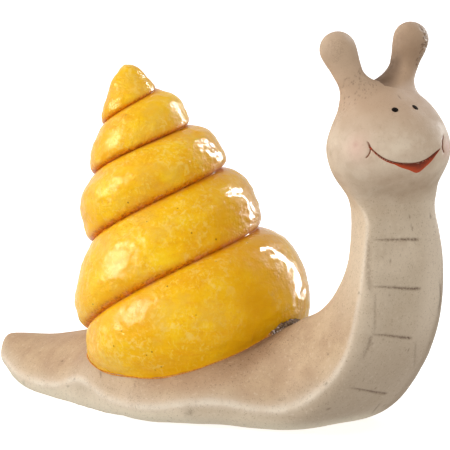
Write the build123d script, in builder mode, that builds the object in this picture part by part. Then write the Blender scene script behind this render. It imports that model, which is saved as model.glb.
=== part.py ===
from build123d import *
import math
import os

os.makedirs("parts", exist_ok=True)

# ---------------------------------------------------------------------------
# Garden snail figurine: hollow earthenware body, glazed spired shell cemented
# on its back, two luted tentacles, enamel eyes and mouth.
# Frame: +X from tail to head, +Y to the snail's left, +Z up. Origin on the
# flat sole, under the middle of the shell. Millimetres.
# ---------------------------------------------------------------------------

# driving dimensions
WALL = 7.0              # clay wall of the hollow casting, sides and back
BELLY_WALL = 6.0        # clay wall on the belly side
FLOOR = 6.0             # clay left above the flat sole
DRAIN_R = 6.0           # firing and drain hole through the sole
DRAIN_X = 20.0
VENT_R = 8.0            # vent from the body hollow up into the shell
VENT_X = -8.0
SHELL_WALL = 6.0        # glazed shell wall
BED = 1.0               # cement bed under the rim of the shell
BEAD_HEIGHT = 2.4       # cement squeezed out along the front of the rim
BEAD_SHIFT = 2.8
PEG_R = 4.2             # peg under each tentacle, luted into the crown
PEG_DEPTH = 5.0
PEG_RISE = 3.0
EYE_R = 1.9             # enamel eye
EYE_DEPTH = 1.2
EYE_DOME = 0.6
LIP_DEPTH = 1.2         # enamel inlay in the lower lip
LINE_R = 0.8            # stylus used for the belly lines and the smile
SPLIT = 9               # points along each half of a section

HEAD_YAW = 26.0         # the head looks this far towards the snail's right
ACROSS = (math.sin(math.radians(HEAD_YAW)), math.cos(math.radians(HEAD_YAW)))


def head_row(z, cx, cy, half, front, back, power=2.0):
    """One level section of the head, turned by HEAD_YAW."""
    return (
        (cx - half * ACROSS[0], cy - half * ACROSS[1], z),
        (cx + half * ACROSS[0], cy + half * ACROSS[1], z),
        (cx - back * ACROSS[1], cy + back * ACROSS[0], z),
        front, 2.0, 0.5, power,
    )


# Sections from the tail along the foot, up the neck and over the head.
# Each row: edge of the foot on the snail's right, edge on its left, crown of
# the back, depth of the belly below the edges, two exponents of the back
# curve, exponent of the belly curve.
ROWS = [
    ((-153.8, -2.5, 12.5), (-153.8, 2.5, 12.5), (-154.0, 0, 18.5), 4.0, 2.0, 0.55, 2.2),
    ((-152.6, -6.0, 13.0), (-152.4, 6.0, 12.0), (-153.2, 0, 21.5), 5.5, 2.0, 0.58, 2.4),
    ((-148.9, -11.5, 12.5), (-148.5, 11.5, 10.8), (-151.2, 0, 23.6), 7.5, 2.0, 0.60, 2.6),
    ((-141.6, -18.0, 11.5), (-142.6, 18.0, 9.6), (-146.3, 0, 24.6), 8.5, 2.0, 0.64, 3.0),
    ((-129.4, -26.0, 9.2), (-130.6, 26.0, 8.8), (-133.8, 0, 25.4), 9.0, 2.0, 0.68, 3.5),
    ((-110.2, -35.5, 6.8), (-111.4, 35.5, 8.8), (-113.5, 0, 27.9), 9.5, 2.0, 0.72, 4.0),
    ((-88.9, -42.5, 6.4), (-90.0, 43.0, 10.0), (-92.6, 0, 33.0), 11.0, 2.0, 0.75, 4.0),
    ((-65.6, -48.5, 10.2), (-66.5, 49.0, 11.6), (-68.3, 0, 38.0), 17.0, 2.0, 0.72, 4.0),
    ((-47.5, -53.5, 16.2), (-48.7, 54.0, 12.6), (-49.3, 0, 40.8), 25.0, 2.0, 0.68, 4.0),
    ((-29.4, -58.0, 12.0), (-30.4, 58.0, 12.6), (-30.7, 0, 43.2), 19.0, 2.0, 0.63, 4.0),
    ((-7.7, -62.5, 8.8), (-8.0, 62.0, 11.4), (-8.4, 0, 46.2), 11.8, 2.0, 0.60, 4.0),
    ((18.3, -63.5, 9.6), (18.1, 63.0, 10.0), (15.4, 0, 49.4), 11.8, 2.0, 0.60, 4.0),
    ((41.7, -58.5, 14.2), (42.2, 59.0, 10.4), (36.4, 0, 52.2), 14.6, 2.0, 0.60, 4.0),
    ((62.8, -51.5, 16.2), (64.0, 53.0, 12.0), (55.8, 0, 55.4), 16.4, 2.0, 0.60, 4.0),
    ((82.0, -44.8, 14.4), (83.2, 47.5, 12.6), (70.8, 0, 58.8), 14.6, 2.0, 0.62, 3.8),
    ((101.3, -39.2, 16.6), (101.0, 43.0, 11.6), (83.0, 0, 62.4), 13.2, 2.0, 0.66, 3.6),
    ((121.2, -35.7, 28.6), (120.8, 39.0, 20.4), (94.6, 1, 67.8), 12.0, 2.0, 0.66, 3.4),
    ((136.6, -33.7, 46.0), (140.4, 35.0, 40.2), (104.6, 3.2, 76.6), 10.4, 2.0, 0.64, 3.2),
    ((145.6, -32.4, 71.0), (155.8, 30.5, 67.2), (114.0, 6, 91.0), 9.4, 2.0, 0.62, 3.2),
    ((149.6, -30.8, 95.0), (162.6, 26.0, 95.6), (119.9, 8, 106.2), 8.2, 2.2, 0.58, 3.2),
    ((150.4, -28.6, 119.0), (163.9, 21.3, 119.6), (121.9, 9, 122.6), 6.2, 2.4, 0.52, 3.1),
    ((147.2, -27.4, 137.0), (162.6, 18.8, 137.4), (121.2, 9.6, 137.2), 5.8, 2.4, 0.50, 2.8),
    head_row(144.2, 151.0, -4.0, 26.4, 11.5, 32.0, 2.4),
    head_row(150.4, 147.8, -3.5, 29.4, 20.5, 30.9, 2.1),
    head_row(157.6, 146.4, -3.1, 33.1, 29.0, 31.6),
    head_row(165.0, 146.3, -3.0, 35.5, 33.8, 33.3),
    head_row(172.0, 146.4, -3.0, 35.9, 35.0, 33.9),
    head_row(179.2, 146.4, -3.0, 34.2, 33.6, 32.9),
    head_row(186.8, 146.0, -3.0, 31.0, 30.6, 30.2),
    head_row(193.6, 144.8, -3.0, 27.2, 26.6, 26.6),
    head_row(199.4, 142.9, -3.0, 22.4, 22.0, 22.2),
    head_row(203.6, 141.2, -3.0, 16.8, 16.6, 16.8),
    head_row(206.6, 140.2, -3.0, 10.4, 10.4, 10.4),
    head_row(208.2, 139.8, -3.0, 3.6, 3.6, 3.6),
]
HOLLOW_FIRST, HOLLOW_LAST = 6, 29      # rows that the inner hollow follows
TAIL_WALL = (14.0, 10.5)               # thicker clay at the first two of them
FACE_FIRST, FACE_LAST = 22, 30         # rows of the head


def section_plane(row):
    right, left, crown = (Vector(*p) for p in row[:3])
    centre = (right + left) * 0.5
    across = (left - right).normalized()
    rise = crown - centre
    up = (rise - across * rise.dot(across)).normalized()
    return Plane(origin=centre, x_dir=across, z_dir=across.cross(up))


def section_points(row, inset=0.0, belly_inset=0.0):
    """Back curve and belly curve of one section, in the section's plane."""
    plane = section_plane(row)
    crown = plane.to_local_coords(Vector(*row[2]))
    half = (Vector(*row[1]) - Vector(*row[0])).length / 2 - inset
    size = math.hypot(crown.X, crown.Y)
    cx = crown.X * (size - inset) / size
    cy = crown.Y * (size - inset) / size
    depth = max(row[3] - belly_inset, 0.4)
    p, q, n = row[4:7]
    back, belly = [], []
    for i in range(SPLIT * 2 + 1):
        t = -math.cos(math.pi * i / (SPLIT * 2))
        rise = max(0.0, 1 - abs(t) ** p) ** q
        back.append((t * half + rise * cx, rise * cy))
        fall = max(0.0, 1 - abs(t) ** n) ** (1 / n)
        belly.append((-t * half, -fall * depth))
    return back, belly


STEPS = [i / (SPLIT * 2) for i in range(SPLIT * 2 + 1)]


def section_wire(row, inset=0.0, belly_inset=0.0):
    back, belly = section_points(row, inset, belly_inset)
    add(Edge.make_spline([Vector(*p) for p in back], parameters=STEPS))
    add(Edge.make_spline([Vector(*p) for p in belly], parameters=STEPS))


# Full outside of the body, cut off flat at the sole
with BuildPart() as body_form:
    for row in ROWS:
        with BuildSketch(section_plane(row)):
            with BuildLine():
                section_wire(row)
            make_face()
    loft()
    split(bisect_by=Plane.XY, keep=Keep.TOP)


# Hollow inside, left with a flat floor over the sole
with BuildPart() as body_hollow:
    for i, row in enumerate(ROWS[HOLLOW_FIRST:HOLLOW_LAST + 1]):
        with BuildSketch(section_plane(row)):
            with BuildLine():
                section_wire(row, TAIL_WALL[i] if i < len(TAIL_WALL) else WALL, BELLY_WALL)
            make_face()
    loft()
    split(bisect_by=Plane.XY.offset(FLOOR), keep=Keep.TOP)

# Skin of the head, LIP_DEPTH thick, that the enamel of the lip sits in
with BuildPart() as face_core:
    for row in ROWS[FACE_FIRST:FACE_LAST + 1]:
        with BuildSketch(section_plane(row)):
            with BuildLine():
                section_wire(row, LIP_DEPTH, LIP_DEPTH)
            make_face()
    loft()

# ---------------------------------------------------------------------------
# Shell: sections square to its axis, each notched where the suture passes
# ---------------------------------------------------------------------------
SHELL_APEX = Vector(-55.6, -1.6, 198.7)
SHELL_LEAN = 20.2        # the axis leans back towards the tail
SHELL_AXIS = Vector(-math.sin(math.radians(SHELL_LEAN)), 0, math.cos(math.radians(SHELL_LEAN)))
SHELL_SIDE = Vector(0.718, 0.6442, 0.2640)      # side where turns are counted from
SHELL_START = (SHELL_SIDE - SHELL_AXIS * SHELL_SIDE.dot(SHELL_AXIS)).normalized()
# distance down the axis from the apex against number of turns, in half turns
TURN_S = [-9.5, 3.4, 16.9, 29.8, 43.2, 57.0, 73.6, 95.4, 114.0, 145.0, 184.4, 229.8]
# outer radius against distance down the axis
RADIUS_S = [-2.0, 0, 4, 10, 20, 30, 40, 55, 70, 90, 110, 130, 145, 160, 172, 182, 190, 197, 203, 207.5]
RADIUS_R = [0.6, 3.6, 8.0, 11.7, 19.4, 26.0, 31.4, 39.0, 47.0, 52.6, 59.6, 67.8, 70.2, 70.1, 68.2, 62.7, 54.6, 44.1, 28.5, 3.0]
FOOT_TUCK = 0.10         # share of the radius by which the shell draws in at its foot, on the tail side
GROOVE_S = [0.0, 30, 70, 120, 180]
GROOVE_D = [0.24, 0.24, 0.22, 0.17, 0.14]       # depth of the suture as a share of the radius
SHELL_SECTIONS = [-1.0, 1.5, 4.5, 7.5, 10.5, 13.5, 16.5, 20, 23.5, 27, 30.5, 34, 38, 42, 46, 50, 54.5, 59,
                  64, 69, 74, 80, 86, 92, 98, 104, 110, 116, 123, 130, 137, 144, 151, 158, 165, 172,
                  178, 184, 190, 195, 200, 204, 207]
SHELL_POINTS = 20       # spline points round each half of a section
SHELL_LOWEST = 10.0      # the form ends here, well inside the back


def smooth_table(xs, ys, x):
    """Monotone cubic through a table of values."""
    n = len(xs)
    h = [xs[i + 1] - xs[i] for i in range(n - 1)]
    d = [(ys[i + 1] - ys[i]) / h[i] for i in range(n - 1)]
    m = [d[0]] + [0.0] * (n - 2) + [d[-1]]
    for i in range(1, n - 1):
        if d[i - 1] * d[i] > 0:
            w1, w2 = 2 * h[i] + h[i - 1], h[i] + 2 * h[i - 1]
            m[i] = (w1 + w2) / (w1 / d[i - 1] + w2 / d[i])
    i = max(0, min(n - 2, sum(1 for v in xs if v < x) - 1))
    s = (x - xs[i]) / h[i]
    return ((2 * s**3 - 3 * s**2 + 1) * ys[i] + (s**3 - 2 * s**2 + s) * h[i] * m[i]
            + (-2 * s**3 + 3 * s**2) * ys[i + 1] + (s**3 - s**2) * h[i] * m[i + 1])


TURNS = [0.5 * i for i in range(len(TURN_S))]


def foot_tuck(s, angle):
    x = max(0.0, min(1.0, (s - 158) / 26))
    return 1 - FOOT_TUCK * x * x * (3 - 2 * x) * ((1 - math.cos(angle)) / 2) ** 2


def shell_radius(s, angle):
    turns = smooth_table(TURN_S, TURNS, s)
    phase = turns - angle / (2 * math.pi)
    notch = ((1 + math.cos(2 * math.pi * phase)) / 2) ** 1.7
    return smooth_table(RADIUS_S, RADIUS_R, s) * foot_tuck(s, angle) * (1 - smooth_table(GROOVE_S, GROOVE_D, s) * notch)


def shell_point(s, angle):
    r = shell_radius(s, angle)
    return Vector(r * math.cos(angle), r * math.sin(angle))


def shell_plane(s):
    return Plane(origin=SHELL_APEX - SHELL_AXIS * s, x_dir=SHELL_START, z_dir=-SHELL_AXIS)


with BuildPart() as shell_form:
    for s in SHELL_SECTIONS:
        with BuildSketch(shell_plane(s)):
            with BuildLine():
                for half in (0, 1):
                    start = math.pi * half
                    angles = [start + math.pi * i / SHELL_POINTS for i in range(SHELL_POINTS + 1)]
                    add(Edge.make_spline([shell_point(s, a) for a in angles],
                                         parameters=[i / SHELL_POINTS for i in range(SHELL_POINTS + 1)]))
            make_face()
    loft()
    split(bisect_by=Plane.XY.offset(SHELL_LOWEST), keep=Keep.TOP)


# ---------------------------------------------------------------------------
# Small features on the face and belly, as points on the outer surface
# ---------------------------------------------------------------------------
EYES = {
    "right_eye": ((163.24, -18.68, 196.2), (0.549, -0.439, 0.711)),
    "left_eye": ((168.16, -6.17, 196.64), (0.661, -0.096, 0.744)),
}
SMILE = [(155.8, -35.5, 179.4), (158.2, -35.6, 176.4), (160.7, -35.1, 174.1), (165.5, -32.5, 170.1), (170.3, -27.9, 167.6), (174.4, -22.6, 166.6), (177.8, -16.4, 166.5), (180.3, -10.0, 168.2), (181.5, -4.5, 170.9), (181.1, 1.9, 174.1)]
LIP = [(170.2, -27.9, 167.1), (172.7, -23.9, 164.3), (174.5, -19.1, 162.1), (175.7, -13.3, 160.2), (178.4, -10.5, 162.8), (180.6, -6.3, 166.6), (181.5, -2.8, 170.4)]
CREASES = [
    [(155.8, -35.5, 179.4), (157.7, -35.4, 177.8), (158.8, -35.9, 174.3), (158.4, -36.3, 172.1), (156.2, -37.1, 169.6)],
    [(178.3, 7.2, 180.3), (180.5, 3.6, 176.0), (181.2, 2.8, 173.0), (180.8, 4.6, 170.1)],
]
BELLY_LINES = [
    [(155.1, -27.1, 121.1), (159.0, -19.1, 120.4), (162.3, -8.3, 119.5), (164.9, 1.6, 118.5)],
    [(156.1, -28.2, 94.2), (160.2, -18.4, 92.8), (162.8, -7.7, 90.8), (165.1, 3.4, 89.5)],
    [(153.6, -25.4, 65.3), (155.8, -16.3, 63.7), (157.1, -6.7, 61.6), (158.2, 4.3, 59.3)],
    [(138.7, -27.4, 32.5), (139.6, -17.8, 30.1), (138.5, -5.3, 26.5), (136.8, 9.0, 22.8)],
]
TENTACLES = {
    # middle of the root, middle of the bulb, root radius, stalk radius, bulb radius
    "right_tentacle": ((133.0, -15.2, 201.5), (124.6, -22.6, 227.7), 9.8, 8.3, 10.5),
    "left_tentacle": ((142.6, 9.6, 203.5), (145.0, 19.0, 231.0), 9.2, 7.9, 10.3),
}

# Shell wall: the form less a round hollow, trimmed to sit on the raised back
with BuildPart() as shell_hollow:
    with BuildSketch(Plane(origin=SHELL_APEX, x_dir=SHELL_START, z_dir=SHELL_START.cross(-SHELL_AXIS))):
        with BuildLine():
            stops = [24, 40, 55, 70, 90, 110, 130, 145, 160, 172, 182, 190, 195]
            wall = [Vector(max(0.5, smooth_table(RADIUS_S, RADIUS_R, s) * foot_tuck(s, math.pi)
                                * (1 - smooth_table(GROOVE_S, GROOVE_D, s)) - SHELL_WALL), s) for s in stops]
            low = wall[-1].Y + 3
            Line((0, stops[0] - 3), (3.0, stops[0] - 3))
            Spline((3.0, stops[0] - 3), *[(p.X, p.Y) for p in wall[1:]])
            Line((wall[-1].X, wall[-1].Y), (0, wall[-1].Y))
            Line((0, wall[-1].Y), (0, stops[0] - 3))
        make_face()
    revolve(axis=Axis(SHELL_APEX, SHELL_AXIS))

with BuildPart() as back_raised:
    add(body_form.part.moved(Location((0, 0, BED))))

with BuildPart() as shell_wall:
    add(shell_form.part)
    add(shell_hollow.part, mode=Mode.SUBTRACT)

with BuildPart() as shell_casting:
    add(shell_wall.part)
    add(back_raised.part, mode=Mode.SUBTRACT)

# Cement: a thin bed under the rim and a bead squeezed out along its front
with BuildPart() as cement_bead:
    add(shell_form.part.moved(Location((BEAD_SHIFT, -0.8, 0))))
    add(body_form.part.moved(Location((0, 0, BEAD_HEIGHT))), mode=Mode.INTERSECT)
    add(shell_form.part, mode=Mode.SUBTRACT)
    split(bisect_by=Plane.YZ.offset(18), keep=Keep.TOP)

with BuildPart() as shell_cement:
    add(shell_wall.part)
    add(back_raised.part, mode=Mode.INTERSECT)
    add(cement_bead.part)
    add(body_form.part, mode=Mode.SUBTRACT)


def tentacle_plane(root, tip):
    root, tip = Vector(*root), Vector(*tip)
    axis = (tip - root).normalized()
    side = axis.cross(Vector(0, 1, 0)).normalized()
    return Plane(origin=root, x_dir=side, z_dir=side.cross(axis)), axis, (tip - root).length


tentacles = {}
pegs = {}
for name, (root, tip, r_root, r_stalk, r_bulb) in TENTACLES.items():
    plane, axis, reach = tentacle_plane(root, tip)
    base_plane = Plane(origin=root, z_dir=axis)
    with BuildPart() as peg:
        with BuildSketch(base_plane.offset(-PEG_DEPTH)):
            Circle(PEG_R)
        extrude(amount=PEG_DEPTH + PEG_RISE)
    with BuildPart() as tentacle:
        with BuildSketch(plane):
            with BuildLine():
                Line((0, -9), (r_root + 7.5, -9))
                Spline((r_root + 7.5, -9), (r_root + 3.4, -3.5), (r_root + 0.8, 1.5), (r_stalk, reach * 0.36),
                       (r_stalk * 1.06, reach * 0.62), (r_bulb * 0.96, reach * 0.86), (r_bulb, reach),
                       (r_bulb * 0.80, reach + r_bulb * 0.60), (r_bulb * 0.43, reach + r_bulb * 0.90),
                       (0, reach + r_bulb), tangents=[(-1, 1.0), (-1, 0)])
                Line((0, reach + r_bulb), (0, -9))
            make_face()
        revolve(axis=Axis(root, axis))
        add(body_form.part, mode=Mode.SUBTRACT)
        add(peg.part)
    tentacles[name] = tentacle
    pegs[name] = peg


# Enamel eyes: short plugs in shallow pockets, each with a low dome
eyes = {}
for name, (spot, normal) in EYES.items():
    plane = Plane(origin=spot, z_dir=normal)
    with BuildPart() as eye:
        with BuildSketch(plane.offset(-EYE_DEPTH)):
            Circle(EYE_R)
        extrude(amount=EYE_DEPTH + EYE_DOME)
        fillet(eye.edges().filter_by(GeomType.CIRCLE).sort_by(Axis(spot, normal))[-1], EYE_DOME * 0.9)
    eyes[name] = eye

# Enamel lower lip: a crescent between the smile line and the lip's edge
FACE_DIR = Vector(math.cos(math.radians(HEAD_YAW)), -math.sin(math.radians(HEAD_YAW)), 0)
face_view = Plane(origin=Vector(146.3, -3.0, 165.0) + FACE_DIR * 15, x_dir=Vector(ACROSS[0], ACROSS[1], 0), z_dir=FACE_DIR)
with BuildPart() as mouth_enamel:
    with BuildSketch(face_view):
        with BuildLine():
            upper = [face_view.to_local_coords(Vector(*p)) for p in SMILE[4:9]]
            lower = [face_view.to_local_coords(Vector(*p)) for p in LIP[1:7]]
            start = (upper[0].X, upper[0].Y - 0.6)
            end = (upper[-1].X, upper[-1].Y - 0.6)
            Spline(start, *[(p.X, p.Y - 0.6) for p in upper[1:-1]], end)
            Spline(start, *[(p.X, p.Y) for p in lower[:-1]], end)
        make_face()
    extrude(amount=40)
    add(body_form.part, mode=Mode.INTERSECT)
    add(face_core.part, mode=Mode.SUBTRACT)

# Stylus lines across the belly, the smile and the two cheek creases
with BuildPart() as stylus_lines:
    for points in [SMILE] + CREASES + BELLY_LINES:
        path = Edge.make_spline([Vector(*p) for p in points])
        with BuildSketch(Plane(origin=path @ 0, z_dir=path % 0)):
            Circle(LINE_R)
        sweep(path=path)

# ---------------------------------------------------------------------------
# Body casting
# ---------------------------------------------------------------------------
with BuildPart() as body_casting:
    add(body_form.part)
    add(body_hollow.part, mode=Mode.SUBTRACT)
    with BuildSketch(Plane.XY):
        with Locations((DRAIN_X, 0)):
            Circle(DRAIN_R)
    extrude(amount=FLOOR + 1, mode=Mode.SUBTRACT)
    with BuildSketch(Plane.XY.offset(30)):
        with Locations((VENT_X, 0)):
            Circle(VENT_R)
    extrude(amount=40, mode=Mode.SUBTRACT)
    for peg in pegs.values():
        add(peg.part, mode=Mode.SUBTRACT)
    for eye in eyes.values():
        add(eye.part, mode=Mode.SUBTRACT)
    add(stylus_lines.part, mode=Mode.SUBTRACT)
    add(mouth_enamel.part, mode=Mode.SUBTRACT)

pieces = {
    "body_casting": body_casting,
    "shell_casting": shell_casting,
    "shell_cement": shell_cement,
    "mouth_enamel": mouth_enamel,
}
pieces.update(tentacles)
pieces.update(eyes)
for name, piece in pieces.items():
    piece.part.label = name
    export_step(piece.part, f"parts/{name}.step")
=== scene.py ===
import math

import bmesh
import bpy
import numpy as np
from mathutils import Matrix, Vector, noise
from mathutils.bvhtree import BVHTree


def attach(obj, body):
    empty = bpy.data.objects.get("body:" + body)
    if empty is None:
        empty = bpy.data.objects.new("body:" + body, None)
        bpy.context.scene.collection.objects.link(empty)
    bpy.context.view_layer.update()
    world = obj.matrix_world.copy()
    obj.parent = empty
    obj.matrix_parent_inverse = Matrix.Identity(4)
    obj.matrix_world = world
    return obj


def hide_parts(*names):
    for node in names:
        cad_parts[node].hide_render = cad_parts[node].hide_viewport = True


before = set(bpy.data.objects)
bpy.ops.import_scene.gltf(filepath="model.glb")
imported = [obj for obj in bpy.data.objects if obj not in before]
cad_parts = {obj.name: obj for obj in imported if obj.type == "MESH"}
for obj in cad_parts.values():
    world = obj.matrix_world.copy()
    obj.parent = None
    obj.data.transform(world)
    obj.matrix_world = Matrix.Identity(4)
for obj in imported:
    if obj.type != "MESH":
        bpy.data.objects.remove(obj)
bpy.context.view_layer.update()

MM = 0.001
PI = math.pi

# ------------------------------------------------------------------ curves


def cubic(t, v, tt):
    """Natural cubic spline through v at t, read at tt."""
    t, v, tt = np.asarray(t, float), np.asarray(v, float), np.asarray(tt, float)
    flat = v.ndim == 1
    if flat:
        v = v[:, None]
    n, h = len(t), np.diff(t)
    a, b = np.zeros((n, n)), np.zeros((n, v.shape[1]))
    a[0, 0] = a[-1, -1] = 1
    for i in range(1, n - 1):
        a[i, i - 1], a[i, i], a[i, i + 1] = h[i - 1], 2 * (h[i - 1] + h[i]), h[i]
        b[i] = 6 * ((v[i + 1] - v[i]) / h[i] - (v[i] - v[i - 1]) / h[i - 1])
    m = np.linalg.solve(a, b)
    i = np.clip(np.searchsorted(t, tt) - 1, 0, n - 2)
    f = ((t[i + 1] - tt) / h[i])[:, None]
    g, hh = 1 - f, h[i][:, None]
    out = f * v[i] + g * v[i + 1] + ((f**3 - f) * m[i] + (g**3 - g) * m[i + 1]) * hh**2 / 6
    return out[:, 0] if flat else out


def pchip(t, v, tt):
    """Smooth curve through v at t that never overshoots, read at tt."""
    t, v, tt = np.asarray(t, float), np.asarray(v, float), np.asarray(tt, float)
    flat = v.ndim == 1
    if flat:
        v = v[:, None]
    h = np.diff(t)[:, None]
    d = np.diff(v, axis=0) / h
    m = np.zeros_like(v)
    w1, w2 = 2 * h[1:] + h[:-1], h[1:] + 2 * h[:-1]
    same = d[:-1] * d[1:] > 0
    with np.errstate(divide="ignore", invalid="ignore"):
        mid = (w1 + w2) / (w1 / d[:-1] + w2 / d[1:])
    m[1:-1] = np.where(same, mid, 0)
    m[0], m[-1] = d[0], d[-1]
    i = np.clip(np.searchsorted(t, tt) - 1, 0, len(t) - 2)
    hh = (t[i + 1] - t[i])[:, None]
    s = (tt - t[i])[:, None] / hh
    out = (
        (2 * s**3 - 3 * s**2 + 1) * v[i]
        + (s**3 - 2 * s**2 + s) * hh * m[i]
        + (-2 * s**3 + 3 * s**2) * v[i + 1]
        + (s**3 - s**2) * hh * m[i + 1]
    )
    return out[:, 0] if flat else out


def smooth(x, lo, hi):
    x = np.clip((np.asarray(x, float) - lo) / (hi - lo), 0, 1)
    return x * x * (3 - 2 * x)


def spread(breaks, weights, count, closed=False):
    """count values from breaks[0] to breaks[-1], crowded where the weight is high."""
    x = np.linspace(breaks[0], breaks[-1], 6000)
    w = np.interp(x, breaks, weights)
    c = np.concatenate([[0], np.cumsum((w[1:] + w[:-1]) / 2)])
    c /= c[-1]
    return np.interp(np.linspace(0, 1, count, endpoint=not closed), c, x)


def along(points, step):
    """A polyline through points, evenly stepped on a smooth curve."""
    p = np.asarray(points, float)
    t = np.concatenate([[0], np.cumsum(np.linalg.norm(np.diff(p, axis=0), axis=1))])
    n = max(3, int(t[-1] / step) + 1)
    return cubic(t, p, np.linspace(0, t[-1], n)) if len(p) > 2 else np.array(
        [p[0] + (p[1] - p[0]) * k for k in np.linspace(0, 1, n)]
    )


def near(points, line, reach):
    """Distance of each point to a polyline, and how far along it (0 to 1) the nearest place is."""
    points, line = np.asarray(points, float), np.asarray(line, float)
    out, where = np.full(len(points), 1e3), np.zeros(len(points))
    lo, hi = line.min(0) - reach, line.max(0) + reach
    pick = np.nonzero(((points > lo) & (points < hi)).all(1))[0]
    if not len(pick):
        return out, where
    p = points[pick]
    best, bw = np.full(len(p), 1e3), np.zeros(len(p))
    n = len(line) - 1
    for k in range(n):
        a, d = line[k], line[k + 1] - line[k]
        f = np.clip((p - a) @ d / max(d @ d, 1e-12), 0, 1)
        q = np.linalg.norm(p - a - f[:, None] * d, axis=1)
        closer = q < best
        best[closer], bw[closer] = q[closer], ((k + f) / n)[closer]
    out[pick], where[pick] = best, bw
    return out, where


def lumps(points, size, shift=0.0, detail=1):
    """Smooth noise, about -1 to 1, with features of that size in mm."""
    s = 1 / size
    out = np.zeros(len(points))
    for o in range(detail):
        k = s * 2**o
        out += (
            np.array([noise.noise(Vector((p[0] * k + shift, p[1] * k - shift, p[2] * k + 2 * shift))) for p in points])
            * 0.5**o
        )
    return out


def grid_normals(p, closed=True):
    du = np.gradient(p, axis=0)
    dv = (np.roll(p, -1, 1) - np.roll(p, 1, 1)) / 2
    if not closed:
        dv = np.gradient(p, axis=1)
    n = np.cross(du, dv)
    length = np.linalg.norm(n, axis=2, keepdims=True)
    length[length == 0] = 1
    return n / length


# ------------------------------------------------------------------ meshes


def make_mesh(name, points, faces, attributes=None, weld=0.0):
    """A smooth closed mesh from points in mm."""
    mesh = bpy.data.meshes.new(name)
    mesh.from_pydata((np.asarray(points, float) * MM).tolist(), [], [list(f) for f in faces])
    for key, values in (attributes or {}).items():
        a = mesh.attributes.new(key, "FLOAT", "POINT")
        a.data.foreach_set("value", np.asarray(values, np.float32))
    bm = bmesh.new()
    bm.from_mesh(mesh)
    if weld:
        bmesh.ops.remove_doubles(bm, verts=bm.verts, dist=weld * MM)
    bmesh.ops.dissolve_degenerate(bm, edges=bm.edges, dist=0.0005 * MM)
    loose = [v for v in bm.verts if not v.link_faces]
    if loose:
        bmesh.ops.delete(bm, geom=loose, context="VERTS")
    bmesh.ops.recalc_face_normals(bm, faces=bm.faces)
    for f in bm.faces:
        f.smooth = True
    bm.to_mesh(mesh)
    bm.free()
    mesh.update()
    obj = bpy.data.objects.new(name, mesh)
    bpy.context.scene.collection.objects.link(obj)
    return obj


def grid_faces(n, m, closed=True, caps=True, base=0):
    """Quads of an n by m grid, closed round the second way, with a fan on each end."""
    faces = []
    span = m if closed else m - 1
    for i in range(n - 1):
        for j in range(span):
            k = (j + 1) % m
            faces.append((base + i * m + j, base + i * m + k, base + (i + 1) * m + k, base + (i + 1) * m + j))
    if caps:
        a, b = base + n * m, base + n * m + 1
        for j in range(m):
            k = (j + 1) % m
            faces.append((a, base + k, base + j))
            faces.append((b, base + (n - 1) * m + j, base + (n - 1) * m + k))
    return faces


def tree_of(obj):
    return BVHTree.FromPolygons(
        [v.co / MM for v in obj.data.vertices], [tuple(p.vertices) for p in obj.data.polygons]
    )


# ------------------------------------------------------------------ body
# right edge, left edge, crown, belly depth, and three numbers for the fullness of the section
HX, HY = 0.438, 0.899


def head_row(z, cx, cy, half, front, back, n=2.0):
    return (
        (cx - half * HX, cy - half * HY, z),
        (cx + half * HX, cy + half * HY, z),
        (cx - back * HY, cy + back * HX, z),
        front, 2.0, 0.5, n,
    )


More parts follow.
